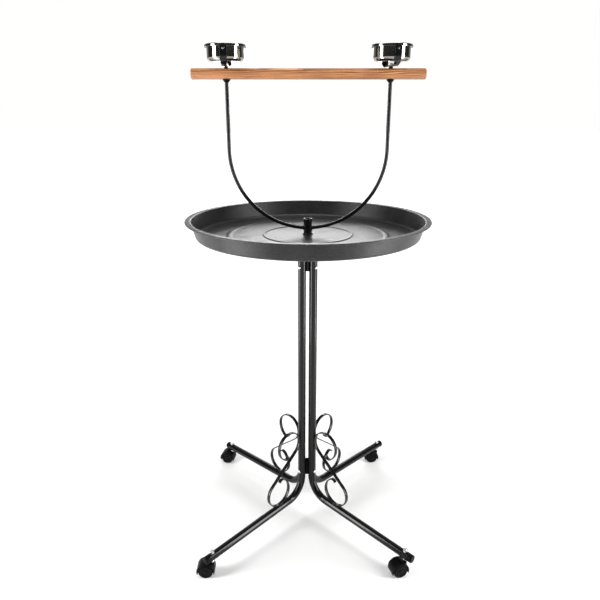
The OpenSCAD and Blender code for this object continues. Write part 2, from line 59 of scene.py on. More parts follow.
# %% Camera
CAMERA_PLACE = (-0.0189, -1.3631, 1.0849)
CAMERA_TILT = math.radians(71.67)
camera_data = bpy.data.cameras.new("camera")
camera_data.sensor_width = 36
camera_data.lens = 34.17
camera = bpy.data.objects.new("camera", camera_data)
camera.location = CAMERA_PLACE
camera.rotation_euler = (CAMERA_TILT, 0, 0)
bpy.context.scene.collection.objects.link(camera)
bpy.context.scene.camera = camera
print("camera at", CAMERA_PLACE)

# %% [markdown]
# ## Reading places off the frame
# Each piece asks the frame for the box of the CAD node that it stands for, and
# takes its middle and its size from that box. What no box tells, such as the
# radius of a bend, is a named value in the piece's own cell.

# %% Boxes, middles and sizes
CORNERS = ("front_left", "front_right", "back_left", "back_right")
SIDES = ("left", "right")


def middle(node):
    low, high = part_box(node)
    return (low + high) / 2


def size(node):
    low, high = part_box(node)
    return high - low


def low_z(node):
    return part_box(node)[0].z


def high_z(node):
    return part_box(node)[1].z


tube_r = size("spacer_tube").x / 2
pole_top = high_z("leg_front_left")
print("tube radius", round(tube_r, 5), "pole top", round(pole_top, 4))

# %% [markdown]
# ## Turning and bending: the two ways most of the stand is made
# Cups, tray, wheels and collars are round, so they are turned like work on a
# lathe: one half outline, swept round an axis. Blender's Screw modifier or Spin
# would do it too; a short bmesh loop keeps the seam welded and the poles clean.

# %% A lathe in a few lines
def arc(x, z, r, start, end, steps):
    """Points on an arc, angles in degrees."""
    turns = [math.radians(start + (end - start) * i / steps) for i in range(steps + 1)]
    return [(x + r * math.cos(a), z + r * math.sin(a)) for a in turns]


def mesh_object(name, verts, edges=(), faces=()):
    mesh = bpy.data.meshes.new(name)
    mesh.from_pydata([tuple(v) for v in verts], list(edges), list(faces))
    mesh.update()
    made = bpy.data.objects.new(name, mesh)
    bpy.context.scene.collection.objects.link(made)
    return made


def skin(name, rings, endless=True):
    """Joins rings of points each to the next; a run that isn't endless gets flat ends."""
    bm = bmesh.new()
    rows = [[bm.verts.new(point) for point in ring] for ring in rings]
    following = rows[1:] + rows[:1] if endless else rows[1:]
    for ring, after in zip(rows, following):
        for j in range(len(ring)):
            k = (j + 1) % len(ring)
            bm.faces.new((ring[j], after[j], after[k], ring[k]))
    if not endless:
        bm.faces.new(rows[0])
        bm.faces.new(list(reversed(rows[-1])))
    bmesh.ops.remove_doubles(bm, verts=bm.verts, dist=1e-7)
    bmesh.ops.recalc_face_normals(bm, faces=bm.faces)
    made = mesh_object(name, [])
    bm.to_mesh(made.data)
    bm.free()
    return made


def smooth(piece, sharp=35):
    """Smooth shading, with edges steeper than this many degrees kept crisp."""
    piece.data.shade_smooth()
    piece.data.set_sharp_from_angle(angle=math.radians(sharp))
    return piece


def lathe(name, outline, steps=96, place=None, sharp=35):
    """Turns a closed outline of (radius, height) points round Z."""
    turns = [2 * math.pi * i / steps for i in range(steps)]
    made = skin(name, [[(r * math.cos(a), r * math.sin(a), z) for r, z in outline] for a in turns])
    if place is not None:
        made.data.transform(place)
    return smooth(made, sharp)


def at(x, y, z):
    return Matrix.Translation((x, y, z))


print("lathe ready")

# %% [markdown]
# ## Geometry Nodes for what follows a path
# A pole, a hanger rod and a scroll are all one section drawn along one path. A
# small node tree does that once, with its sizes as named inputs. Other trees
# set a copy at each corner and lay weld beads along a line.

# %% Helpers that build and run a node tree
def new_tree(name, inputs):
    tree = bpy.data.node_groups.new(name, "GeometryNodeTree")
    face = tree.interface
    face.new_socket("Geometry", in_out="INPUT", socket_type="NodeSocketGeometry")
    for label, kind in inputs:
        face.new_socket(label, in_out="INPUT", socket_type="NodeSocket" + kind)
    face.new_socket("Geometry", in_out="OUTPUT", socket_type="NodeSocketGeometry")
    return tree, tree.nodes.new("NodeGroupInput"), tree.nodes.new("NodeGroupOutput")


def end_tree(tree, given, shape, out):
    """Every tree ends the same way: real geometry, with its material."""
    realize = tree.nodes.new("GeometryNodeRealizeInstances")
    paint = tree.nodes.new("GeometryNodeSetMaterial")
    tree.links.new(shape, realize.inputs[0])
    tree.links.new(realize.outputs[0], paint.inputs["Geometry"])
    tree.links.new(given.outputs["Material"], paint.inputs["Material"])
    tree.links.new(paint.outputs[0], out.inputs[0])


def run_tree(piece, tree, **values):
    """Runs a tree on a piece and keeps the result as a plain mesh."""
    sockets = {s.name: s.identifier for s in tree.interface.items_tree if s.in_out == "INPUT"}
    modifier = piece.modifiers.new(tree.name, "NODES")
    modifier.node_group = tree
    for label, value in values.items():
        modifier[sockets[label]] = value
    graph = bpy.context.evaluated_depsgraph_get()
    made = bpy.data.meshes.new_from_object(piece.evaluated_get(graph))
    piece.modifiers.clear()
    piece.data = made
    return piece


def path_object(name, *paths):
    """One object that holds each path as a line of vertices."""
    verts, edges = [], []
    for path in paths:
        first = len(verts)
        verts += path
        edges += [(i, i + 1) for i in range(first, len(verts) - 1)]
    return mesh_object(name, verts, edges)


print("node helpers ready")

# %% Tree: a round bar along a path
def round_bar_tree():
    tree, given, out = new_tree("Round bar", [("Radius", "Float"), ("Material", "Material")])
    line = tree.nodes.new("GeometryNodeMeshToCurve")
    ring = tree.nodes.new("GeometryNodeCurvePrimitiveCircle")
    skin = tree.nodes.new("GeometryNodeCurveToMesh")
    ring.inputs["Resolution"].default_value = 40
    skin.inputs["Fill Caps"].default_value = True
    tree.links.new(given.outputs["Geometry"], line.inputs[0])
    tree.links.new(given.outputs["Radius"], ring.inputs["Radius"])
    tree.links.new(line.outputs[0], skin.inputs["Curve"])
    tree.links.new(ring.outputs[0], skin.inputs["Profile Curve"])
    end_tree(tree, given, skin.outputs[0], out)
    return tree


# %% Tree: a flat strip with rounded edges along a path
def flat_strip_tree():
    tree, given, out = new_tree("Flat strip", [
        ("Width", "Float"), ("Thickness", "Float"), ("Edge", "Float"), ("Material", "Material")
    ])
    line = tree.nodes.new("GeometryNodeMeshToCurve")
    section = tree.nodes.new("GeometryNodeCurvePrimitiveQuadrilateral")
    fillet = tree.nodes.new("GeometryNodeFilletCurve")
    skin = tree.nodes.new("GeometryNodeCurveToMesh")
    fillet.mode = "POLY"
    fillet.inputs["Count"].default_value = 4
    skin.inputs["Fill Caps"].default_value = True
    tree.links.new(given.outputs["Geometry"], line.inputs[0])
    tree.links.new(given.outputs["Width"], section.inputs["Width"])
    tree.links.new(given.outputs["Thickness"], section.inputs["Height"])
    tree.links.new(section.outputs[0], fillet.inputs["Curve"])
    tree.links.new(given.outputs["Edge"], fillet.inputs["Radius"])
    tree.links.new(line.outputs[0], skin.inputs["Curve"])
    tree.links.new(fillet.outputs[0], skin.inputs["Profile Curve"])
    end_tree(tree, given, skin.outputs[0], out)
    return tree


# %% Tree: copies of a piece on given points, each facing away from the upright axis
def corner_copies_tree():
    tree, given, out = new_tree("Copies on points", [("Piece", "Object"), ("Material", "Material")])
    source = tree.nodes.new("GeometryNodeObjectInfo")
    where = tree.nodes.new("GeometryNodeInputPosition")
    flat = tree.nodes.new("ShaderNodeVectorMath")
    face = tree.nodes.new("FunctionNodeAlignRotationToVector")
    copies = tree.nodes.new("GeometryNodeInstanceOnPoints")
    flat.operation = "MULTIPLY"
    flat.inputs[1].default_value = (1, 1, 0)
    face.axis = "X"
    face.pivot_axis = "Z"
    tree.links.new(given.outputs["Piece"], source.inputs["Object"])
    tree.links.new(where.outputs[0], flat.inputs[0])
    tree.links.new(flat.outputs[0], face.inputs["Vector"])
    tree.links.new(given.outputs["Geometry"], copies.inputs["Points"])
    tree.links.new(source.outputs["Geometry"], copies.inputs["Instance"])
    tree.links.new(face.outputs[0], copies.inputs["Rotation"])
    end_tree(tree, given, copies.outputs[0], out)
    return tree


# %% Tree: a weld bead, as overlapping drops along a line
def weld_bead_tree():
    tree, given, out = new_tree("Weld bead", [
        ("Spacing", "Float"), ("Size", "Float"), ("Material", "Material")
    ])
    line = tree.nodes.new("GeometryNodeMeshToCurve")
    steps = tree.nodes.new("GeometryNodeCurveToPoints")
    drop = tree.nodes.new("GeometryNodeMeshIcoSphere")
    vary = tree.nodes.new("FunctionNodeRandomValue")
    copies = tree.nodes.new("GeometryNodeInstanceOnPoints")
    steps.mode = "LENGTH"
    drop.inputs["Subdivisions"].default_value = 2
    vary.data_type = "FLOAT_VECTOR"
    vary.inputs[0].default_value = (0.8, 0.8, 0.8)
    vary.inputs[1].default_value = (1.15, 1.15, 1.15)
    vary.inputs["Seed"].default_value = 7
    tree.links.new(given.outputs["Geometry"], line.inputs[0])
    tree.links.new(line.outputs[0], steps.inputs["Curve"])
    tree.links.new(given.outputs["Spacing"], steps.inputs["Length"])
    tree.links.new(given.outputs["Size"], drop.inputs["Radius"])
    tree.links.new(steps.outputs["Points"], copies.inputs["Points"])
    tree.links.new(drop.outputs["Mesh"], copies.inputs["Instance"])
    tree.links.new(vary.outputs[0], copies.inputs["Scale"])
    end_tree(tree, given, copies.outputs[0], out)
    return tree


round_bar = round_bar_tree()
flat_strip = flat_strip_tree()
corner_copies = corner_copies_tree()
weld_bead = weld_bead_tree()
print("trees:", [tree.name for tree in (round_bar, flat_strip, corner_copies, weld_bead)])

# %% [markdown]
# ## Joining solids
# A caster hood is a curved guard, a flat web and a round boss in one moulding. A
# Boolean union makes them one clean shell, as the mould does, and a Bevel takes
# the sharpness off what a mould would never leave sharp.

# %% Boolean and bevel, applied at once
def apply_modifier(piece, kind, **settings):
    modifier = piece.modifiers.new(kind.lower(), kind)
    for label, value in settings.items():
        setattr(modifier, label, value)
    graph = bpy.context.evaluated_depsgraph_get()
    made = bpy.data.meshes.new_from_object(piece.evaluated_get(graph))
    piece.modifiers.clear()
    piece.data = made
    return piece


def combine(piece, other, operation="UNION"):
    apply_modifier(piece, "BOOLEAN", object=other, operation=operation, solver="EXACT")
    bpy.data.objects.remove(other)
    return piece


def bevel(piece, width, segments=3, angle=30):
    return apply_modifier(
        piece, "BEVEL", width=width, segments=segments,
        limit_method="ANGLE", angle_limit=math.radians(angle)
    )


def merged(*pieces):
    """Puts several pieces' meshes in the first one, without cutting them."""
    bm = bmesh.new()
    for piece in pieces:
        bm.from_mesh(piece.data)
    bm.to_mesh(pieces[0].data)
    bm.free()
    for piece in pieces[1:]:
        bpy.data.objects.remove(piece)
    return pieces[0]


def prism(name, outline, depth, place=None):
    """A flat outline of (x, y) points given a thickness, centred on its plane."""
    rings = [[(x, y, z) for x, y in outline] for z in (-depth / 2, depth / 2)]
    made = skin(name, rings, endless=False)
    if place is not None:
        made.data.transform(place)
    return made


def finish_piece(piece, body, slot, material, *nodes):
    """Paints a piece, hangs it on the body empty that moves it, and hides the CAD nodes it stands for."""
    piece.data.materials.clear()
    piece.data.materials.append(material)
    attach(piece, body)
    if nodes:
        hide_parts(*nodes)
    print(piece.name, "on", body, "faces", len(piece.data.polygons))
    return piece


print("joining helpers ready")

# %% [markdown]
# ## Materials
# Every finish starts from one Principled shader. What is the same all over is
# set on its sockets; colour patches, roughness and the small bumps come from
# textures that read the piece's own coordinates in metres, so a scale of 300
# means about three hundred bumps to the metre.

# %% Material helpers
def surface(name, color, roughness, metallic=0.0):
    material = bpy.data.materials.new(name)
    material.use_nodes = True
    shader = material.node_tree.nodes["Principled BSDF"]
    shader.inputs["Base Color"].default_value = (*color, 1)
    shader.inputs["Roughness"].default_value = roughness
    shader.inputs["Metallic"].default_value = metallic
    return material, shader


def add(material, kind, **values):
    node = material.node_tree.nodes.new(kind)
    for label, value in values.items():
        node.inputs[label].default_value = value
    return node


def wire(material, source, target):
    material.node_tree.links.new(source, target)


def coordinates(material, place=(0, 0, 0), scale=(1, 1, 1)):
    """The piece's own coordinates, moved so that place is the pattern's centre."""
    source = add(material, "ShaderNodeTexCoord")
    mapping = add(material, "ShaderNodeMapping")
    mapping.inputs["Location"].default_value = [-p * s for p, s in zip(place, scale)]
    mapping.inputs["Scale"].default_value = scale
    wire(material, source.outputs["Object"], mapping.inputs["Vector"])
    return mapping.outputs[0]


def noise(material, vector, scale, detail=3.0, roughness=0.5):
    node = add(material, "ShaderNodeTexNoise", Scale=scale, Detail=detail, Roughness=roughness)
    wire(material, vector, node.inputs["Vector"])
    return node.outputs["Fac"]


def ramp(material, factor, *stops):
    """A colour ramp from (position, colour) stops."""
    node = add(material, "ShaderNodeValToRGB")
    bar = node.color_ramp
    while len(bar.elements) < len(stops):
        bar.elements.new(0.5)
    for element, (position, color) in zip(bar.elements, stops):
        element.position = position
        element.color = (*color, 1)
    wire(material, factor, node.inputs["Fac"])
    return node.outputs["Color"]


def span(material, value, low, high, to_low, to_high):
    node = add(material, "ShaderNodeMapRange")
    for label, amount in zip(("From Min", "From Max", "To Min", "To Max"), (low, high, to_low, to_high)):
        node.inputs[label].default_value = amount
    wire(material, value, node.inputs["Value"])
    return node.outputs[0]


def maths(material, operation, a, b):
    node = material.node_tree.nodes.new("ShaderNodeMath")
    node.operation = operation
    for socket, value in zip(node.inputs, (a, b)):
        if isinstance(value, (int, float)):
            socket.default_value = value
        else:
            wire(material, value, socket)
    return node.outputs[0]


def blend_colors(material, factor, a, b):
    node = material.node_tree.nodes.new("ShaderNodeMix")
    node.data_type = "RGBA"
    for socket, value in ((node.inputs[0], factor), (node.inputs[6], a), (node.inputs[7], b)):
        if isinstance(value, tuple):
            socket.default_value = (*value, 1)
        else:
            wire(material, value, socket)
    return node.outputs[2]


def bump(material, shader, height, strength, distance):
    node = add(material, "ShaderNodeBump", Strength=strength, Distance=distance)
    wire(material, height, node.inputs["Height"])
    wire(material, node.outputs[0], shader.inputs["Normal"])


print("material helpers ready")

# %% [markdown]
# ### Hammertone paint
# The frame and tray wear a hammertone powder coat: a charcoal paint that draws
# into shallow dimples a few millimetres across. A smooth Voronoi gives the
# dimples, and the same pattern makes the rims of the dimples a little lighter.
# Along the tray's top edge, at a known height, spots of lighter paint are a painted highlight.

# %% Hammertone
# Colour of the painted highlight along the tray's top edge.
PAINT_RIM_HIGHLIGHT = (0.13, 0.13, 0.128)


def hammertone(name, dark, light, roughness, scale, dimple, highlight_top=None):
    material, shader = surface(name, dark, roughness[0])
    shader.inputs["Specular IOR Level"].default_value = 0.26
    vector = coordinates(material)
    cells = add(material, "ShaderNodeTexVoronoi", Scale=scale)
    cells.feature = "SMOOTH_F1"
    cells.inputs["Smoothness"].default_value = 0.6
    wire(material, vector, cells.inputs["Vector"])
    grain = noise(material, vector, 900.0)
    patches = noise(material, vector, 22.0)
    dimples = maths(material, "ADD", cells.outputs["Distance"], maths(material, "MULTIPLY", grain, 0.15))
    dimple_tone = maths(material, "MULTIPLY", dimples, 0.7)
    patch_tone = maths(material, "MULTIPLY", patches, 0.45)
    tone = maths(material, "ADD", dimple_tone, patch_tone)
    color = ramp(material, tone, (0.35, dark), (0.85, light))
    # Painted highlight: lighter colour, in spots, on a thin band just under the given height (the tray's
    # top edge).
    if highlight_top is not None:
        height = add(material, "ShaderNodeSeparateXYZ")
        wire(material, vector, height.inputs[0])
        edge = span(material, height.outputs["Z"], highlight_top - 0.0022, highlight_top, 0.0, 0.75)
        spots = span(material, noise(material, vector, 130.0), 0.42, 0.68, 0.15, 1.0)
        color = blend_colors(material, maths(material, "MULTIPLY", edge, spots), color, PAINT_RIM_HIGHLIGHT)
    wire(material, color, shader.inputs["Base Color"])
    wire(material, span(material, patches, 0.3, 0.7, *roughness), shader.inputs["Roughness"])
    bump(material, shader, dimples, dimple, 0.0009)
    return material


frame_paint = hammertone(
    "frame_hammertone", (0.0020, 0.0020, 0.0021), (0.0075, 0.0074, 0.0074), (0.09, 0.15), 330.0, 0.08
)
# The tray's paint carries a painted highlight along its top edge.
tray_paint = hammertone(
    "tray_hammertone", (0.005, 0.005, 0.0051), (0.030, 0.030, 0.0301), (0.33, 0.37), 600.0, 0.36,
    highlight_top=high_z("tray")
)
print("paints:", frame_paint.name, tray_paint.name)

# %% [markdown]
# ### Black enamel, plastic and zinc
# The cup holders are dipped in gloss black enamel, which flows a little, so its
# highlights waver. Caster plastic is duller, with a fine spark texture from the
# mould. Zinc plate is bright with cloudy patches.

# %% Enamel, plastic, zinc
def enamel():
    material, shader = surface("gloss_black_enamel", (0.004, 0.004, 0.0045), 0.12)
    shader.inputs["Specular IOR Level"].default_value = 0.2
    shader.inputs["Coat Weight"].default_value = 0.25
    shader.inputs["Coat Roughness"].default_value = 0.05
    vector = coordinates(material)
    flow = noise(material, vector, 140.0, detail=1.0)
    sheen = span(material, noise(material, vector, 45.0), 0.3, 0.7, 0.08, 0.2)
    wire(material, sheen, shader.inputs["Roughness"])
    bump(material, shader, flow, 0.12, 0.0006)
    return material


def moulded_plastic(name, color, roughness, scuffs):
    material, shader = surface(name, color, roughness)
    shader.inputs["Specular IOR Level"].default_value = 0.09
    vector = coordinates(material)
    spark = noise(material, vector, 1600.0, detail=2.0)
    cloud = noise(material, vector, 60.0, detail=4.0)
    lighter = tuple(c * 2.4 + 0.003 for c in color)
    marks = span(material, cloud, 0.5, 0.72, 0.0, scuffs)
    wire(material, blend_colors(material, marks, color, lighter), shader.inputs["Base Color"])
    sheen = span(material, cloud, 0.3, 0.7, roughness - 0.07, roughness + 0.1)
    wire(material, sheen, shader.inputs["Roughness"])
    bump(material, shader, spark, 0.25, 0.00025)
    return material


def zinc_plate(name, dull, bright):
    material, shader = surface(name, bright, 0.28, metallic=1.0)
    vector = coordinates(material)
    cloud = noise(material, vector, 240.0, detail=3.0)
    wire(material, ramp(material, cloud, (0.35, dull), (0.7, bright)), shader.inputs["Base Color"])
    wire(material, span(material, cloud, 0.3, 0.7, 0.2, 0.38), shader.inputs["Roughness"])
    bump(material, shader, noise(material, vector, 1500.0), 0.15, 0.0001)
    return material


black_enamel = enamel()
hood_plastic = moulded_plastic("hood_plastic", (0.0024, 0.0024, 0.0026), 0.38, 0.35)
wheel_plastic = moulded_plastic("wheel_plastic", (0.0020, 0.0020, 0.0022), 0.34, 0.6)
zinc = zinc_plate("zinc_plate", (0.56, 0.58, 0.62), (0.78, 0.78, 0.76))
rivet_steel = zinc_plate("rivet_steel", (0.07, 0.07, 0.075), (0.13, 0.13, 0.13))
print("made", black_enamel.name, hood_plastic.name, wheel_plastic.name, zinc.name)

# %% [markdown]
# ### Polished stainless
# A spun cup is polished while it turns, so the finest scratches run round it.
# The pattern measures the distance from the cup's own axis and its height, and
# noise along those two makes thin rings that only roughness and bump show.

# %% Stainless
def stainless(name, centre):
    material, shader = surface(name, (0.31, 0.30, 0.275), 0.09, metallic=1.0)
    vector = coordinates(material, centre)
    parts = add(material, "ShaderNodeSeparateXYZ")
    wire(material, vector, parts.inputs[0])
    across = maths(material, "MULTIPLY", parts.outputs["X"], parts.outputs["X"])
    along = maths(material, "MULTIPLY", parts.outputs["Y"], parts.outputs["Y"])
    from_axis = maths(material, "SQRT", maths(material, "ADD", across, along), 0)
    rings = add(material, "ShaderNodeCombineXYZ")
    wire(material, from_axis, rings.inputs["X"])
    wire(material, parts.outputs["Z"], rings.inputs["Y"])
    lines = noise(material, rings.outputs[0], 1400.0, detail=2.0)
    smears = noise(material, vector, 38.0, detail=3.0)
    line_shine = maths(material, "MULTIPLY", lines, 0.06)
    smear_shine = maths(material, "MULTIPLY", smears, 0.09)
    shine = maths(material, "ADD", line_shine, smear_shine)
    wire(material, shine, shader.inputs["Roughness"])
    bump(material, shader, lines, 0.06, 0.0001)
    return material


cup_steel = {side: stainless("cup_steel_" + side, middle("cup_" + side)) for side in SIDES}
print("made", [m.name for m in cup_steel.values()])

# %% [markdown]
# ### The wooden perch
# A dowel is turned from a plank, so its growth rings run along it as long, thin
# arches. Distance from a slightly tilted axis outside the dowel gives the rings;
# stretched noise bends them and adds the fine pores. The wood is oiled lightly.

# %% Wood
WOOD_PALE = (0.66, 0.33, 0.152)
WOOD_WARM = (0.38, 0.155, 0.060)
WOOD_DEEP = (0.14, 0.046, 0.015)


def perch_wood():
    material, shader = surface("oiled_dowel", WOOD_WARM, 0.42)
    shader.inputs["Specular IOR Level"].default_value = 0.22
    heart = middle("perch") + Vector((0, 0.014, -0.03))
    vector = coordinates(material, heart, (0.09, 1, 1))
    bend = add(material, "ShaderNodeTexNoise", Scale=42.0, Detail=2.0)
    wire(material, vector, bend.inputs["Vector"])
    parts = add(material, "ShaderNodeSeparateXYZ")
    wire(material, vector, parts.inputs[0])
    across = maths(material, "MULTIPLY", parts.outputs["Y"], parts.outputs["Y"])
    upward = maths(material, "MULTIPLY", parts.outputs["Z"], parts.outputs["Z"])
    radius = maths(material, "SQRT", maths(material, "ADD", across, upward), 0)
    wander = maths(material, "MULTIPLY", bend.outputs["Fac"], 0.011)
    years = maths(material, "MULTIPLY", maths(material, "ADD", radius, wander), 420.0)
    ring = maths(material, "FRACT", years, 0)
    fibres = noise(material, coordinates(material, heart, (0.02, 1, 1)), 900.0, detail=4.0, roughness=0.6)
    patches = noise(material, coordinates(material, heart, (0.2, 1, 1)), 30.0)
    ring_tone = maths(material, "MULTIPLY", ring, 0.5)
    fibre_tone = maths(material, "MULTIPLY", fibres, 0.5)
    tone = maths(material, "ADD", ring_tone, fibre_tone)
    color = ramp(material, tone, (0.28, WOOD_PALE), (0.5, WOOD_WARM), (0.72, WOOD_DEEP))
    shaded = blend_colors(material, span(material, patches, 0.42, 0.62, 0.0, 0.5), color, WOOD_DEEP)
    wire(material, shaded, shader.inputs["Base Color"])
    wire(material, span(material, fibres, 0.3, 0.7, 0.34, 0.52), shader.inputs["Roughness"])
    bump(material, shader, fibres, 0.3, 0.0003)
    return material


oiled_wood = perch_wood()
print("made", oiled_wood.name)

# %% [markdown]
# ## The four poles that turn into legs
# Each is one steel tube, bent once. The path is three stretches: down the pole,
# round the bend, out along the leg. The pole stands against the socket tube, and
# the leg ends a little past its caster's stem, where its end plug starts.

# %% Legs
LEG_FALL = math.radians(3.4)
BEND_R = 0.055
PLUG_HEAD = 0.013
STEM_INSET = 0.022
TOUCH_GAP = 0.0001
corner_turn = {}
for corner in CORNERS:
    stem = middle("stem_" + corner)
    corner_turn[corner] = math.atan2(stem.y, stem.x)


def outwards(corner, r, z, aside=0.0):
    """A point r from the upright axis towards a corner, and aside from that plane."""
    a = corner_turn[corner]
    x = r * math.cos(a) - aside * math.sin(a)
    y = r * math.sin(a) + aside * math.cos(a)
    return Vector((x, y, z))


stem_out = math.hypot(*middle("stem_front_left").xy)
pole_out = 2 * tube_r + TOUCH_GAP
bend_end = pole_out + BEND_R * (1 - math.sin(LEG_FALL))
leg_end = stem_out + STEM_INSET - PLUG_HEAD * math.cos(LEG_FALL)
leg_low = low_z("leg_front_left") + tube_r * math.cos(LEG_FALL)


def leg_height(r):
    """Height of a leg's axis at distance r from the upright axis."""
    return leg_low + (leg_end - r) * math.tan(LEG_FALL)


bend_z = leg_height(bend_end) + BEND_R * math.cos(LEG_FALL)


def leg_path(corner):
    curve = arc(pole_out + BEND_R, bend_z, BEND_R, 180, 270 - math.degrees(LEG_FALL), 28)
    points = [(pole_out, pole_top)] + curve + [(leg_end, leg_height(leg_end))]
    return [outwards(corner, r, z) for r, z in points]


for corner in CORNERS:
    leg = path_object("leg_tube_" + corner, leg_path(corner))
    run_tree(leg, round_bar, Radius=tube_r, Material=frame_paint)
    finish_piece(smooth(leg), "stand", "hammertone", frame_paint, "leg_" + corner)

# %% [markdown]
# ## The scrolls
# A blacksmith's S: flat strip rolled into two loops that brace each pole against
# its leg. The centre line is arcs and one straight, and the second loop is the
# first turned half round the middle, so only one loop is drawn.

# %% Scroll path
LOOP_R = 0.0365
LOOP_END_R = 0.041
CURL_R = 0.009
STRIP_W = 0.009
STRIP_T = 0.003
LOW_LOOP_OUT = 0.109
HIGH_LOOP_Z = 0.241
END_TURN = 58
CURL_TURN = 105
loop_reach = TOUCH_GAP + STRIP_T / 2 + LOOP_R
low_loop_z = leg_height(LOW_LOOP_OUT) + (tube_r + loop_reach) / math.cos(LEG_FALL)
loop_a = Vector((LOW_LOOP_OUT, low_loop_z))
loop_b = Vector((pole_out + tube_r + loop_reach, HIGH_LOOP_Z))
scroll_middle = (loop_a + loop_b) / 2


def loop_points():
    """One loop, from its curled end to where it becomes straight."""
    rise = loop_b - loop_a
    tangent = math.degrees(math.atan2(rise.y, rise.x) - math.acos(2 * LOOP_R / rise.length))
    opening = 180 - END_TURN
    wide = loop_a + Vector((LOOP_END_R - LOOP_R, 0))
    turn = math.radians(opening)
    curl = wide + (LOOP_END_R - CURL_R) * Vector((math.cos(turn), math.sin(turn)))
    return (
        arc(*curl, CURL_R, opening - CURL_TURN, opening, 14)
        + arc(*wide, LOOP_END_R, opening, 180, 12)[1:]
        + arc(*loop_a, LOOP_R, 180, 360 + tangent, 48)[1:]
    )


first_loop = loop_points()
second_loop = [tuple(2 * scroll_middle - Vector(p)) for p in reversed(first_loop)]
scroll_line = first_loop + second_loop
print("scroll points", len(scroll_line))

# %% Scrolls
for corner in CORNERS:
    path = [outwards(corner, r, z) for r, z in scroll_line]
    scroll = path_object("scroll_strip_" + corner, path)
    run_tree(
        scroll, flat_strip, Width=STRIP_W, Thickness=STRIP_T, Edge=0.0009, Material=frame_paint
    )
    finish_piece(smooth(scroll), "stand", "hammertone", frame_paint, "scroll_" + corner)

# %% [markdown]
# ## Leg ends
# A moulded plug closes each tube. It is turned like the cups, in its own frame,
# with the tube's end at zero. The copying tree keeps copies upright, so each
# plug is placed by a matrix that leans it along its leg instead.

# %% End plugs
PLUG_SOFT = 0.0022
PLUG_DIP = 0.0004
plug_neck = tube_r - 0.0016
plug_outline = (
    [(0, -0.004), (plug_neck, -0.004), (plug_neck, TOUCH_GAP), (tube_r, TOUCH_GAP)]
    + arc(tube_r - PLUG_SOFT, PLUG_HEAD - PLUG_SOFT, PLUG_SOFT, 0, 90, 6)
    + [(tube_r * 0.45, PLUG_HEAD), (tube_r * 0.4, PLUG_HEAD - PLUG_DIP), (0, PLUG_HEAD - PLUG_DIP)]
)
for corner in CORNERS:
    along = outwards(corner, math.cos(LEG_FALL), -math.sin(LEG_FALL))
    lean = along.to_track_quat("Z", "Y").to_matrix().to_4x4()
    place = at(*outwards(corner, leg_end, leg_height(leg_end))) @ lean
    plug = lathe("leg_plug_" + corner, plug_outline, 56, place=place)
    finish_piece(plug, "stand", "black_plastic", hood_plastic, "end_plug_" + corner)

# %% [markdown]
# ## Casters
# The hood is drawn once in a frame of its own, with the axle at the origin, the
# swivel axis on one side and the wheels on either side of the web. Then it is
# copied to each leg end, turned the way that caster trails.

# %% Caster sizes from the boxes
wheel_r = size("wheel_front_left_a").z / 2
axle_r = size("axle_front_left").z / 2
HOOD_T = 0.0026
HOOD_GAP = 0.0015
HOOD_DROP = math.radians(16)
WEB_T = 0.011
WEB_DROP = 0.010
BOSS_SOFT = 0.001
STEM_HOLE_R = 0.0038
STEM_HOLE_DEPTH = 0.0022
WHEEL_W = 0.0095
MOVE_GAP = 0.00035
hood_r = wheel_r + HOOD_GAP + HOOD_T
hood_w = WEB_T + 2 * MOVE_GAP + 2 * WHEEL_W


def axle_frame(corner):
    """Places a caster drawn with its axle along Y and its swivel axis at -X."""
    axle = middle("axle_" + corner)
    swivel = middle("stem_" + corner)
    heading = math.atan2(axle.y - swivel.y, axle.x - swivel.x)
    return at(*axle) @ Matrix.Rotation(heading, 4, "Z")


trail = (middle("axle_front_left") - middle("stem_front_left")).xy.length
hood_top = high_z("hood_front_left") - middle("axle_front_left").z
print("trail", round(trail, 4), "hood radius", hood_r, "hood width", hood_w)

# %% The hood
def guard_section():
    """Section of the curved guard: a strip with rounded outer edges."""
    half, inner, outer, soft = hood_w / 2, hood_r - HOOD_T, hood_r, 0.0014
    return (
        [(inner, -half), (outer - soft, -half)]
        + arc(outer - soft, -half + soft, soft, -90, 0, 5)[1:]
        + arc(outer - soft, half - soft, soft, 0, 90, 5)
        + [(inner, half)]
    )


def swept_arc(name, section, start, end, steps):
    """Sweeps a (radius, side) section round the axle between two angles."""
    turns = [start + (end - start) * i / steps for i in range(steps + 1)]
    rings = [[(r * math.cos(a), y, r * math.sin(a)) for r, y in section] for a in turns]
    return skin(name, rings, endless=False)


def hood_master():
    turn_y = Matrix.Rotation(math.pi / 2, 4, "X")
    guard = swept_arc("hood_master", guard_section(), -HOOD_DROP, math.pi + HOOD_DROP, 60)
    web_r = hood_r - HOOD_T / 2
    dip = math.asin(WEB_DROP / web_r)
    outline = arc(0, 0, web_r, -math.degrees(dip), 180 + math.degrees(dip), 56)
    web = prism("web", outline, WEB_T, turn_y)
    combine(guard, web)
    boss_r = WEB_T / 2 - 0.0005
    shoulder = arc(boss_r - BOSS_SOFT, hood_top - BOSS_SOFT, BOSS_SOFT, 0, 90, 4)
    boss = lathe("boss", [(0, 0), (boss_r, 0)] + shoulder + [(0, hood_top)], 40)
    boss.data.transform(at(-trail, 0, 0))
    combine(guard, boss)
    hole_foot = hood_top - STEM_HOLE_DEPTH
    hollow_outline = [(0, hole_foot), (STEM_HOLE_R, hole_foot), (STEM_HOLE_R, 0.05), (0, 0.05)]
    hollow = lathe("hollow", hollow_outline, 32)
    hollow.data.transform(at(-trail, 0, 0))
    combine(guard, hollow, "DIFFERENCE")
    bevel(guard, 0.0005, 2, 40)
    return smooth(guard, 40)


hood = hood_master()
for corner in CORNERS:
    shell = bpy.data.objects.new("caster_hood_" + corner, hood.data.copy())
    bpy.context.scene.collection.objects.link(shell)
    shell.data.transform(axle_frame(corner))
    finish_piece(shell, "caster_" + corner, "black_plastic", hood_plastic, "hood_" + corner)
bpy.data.objects.remove(hood)

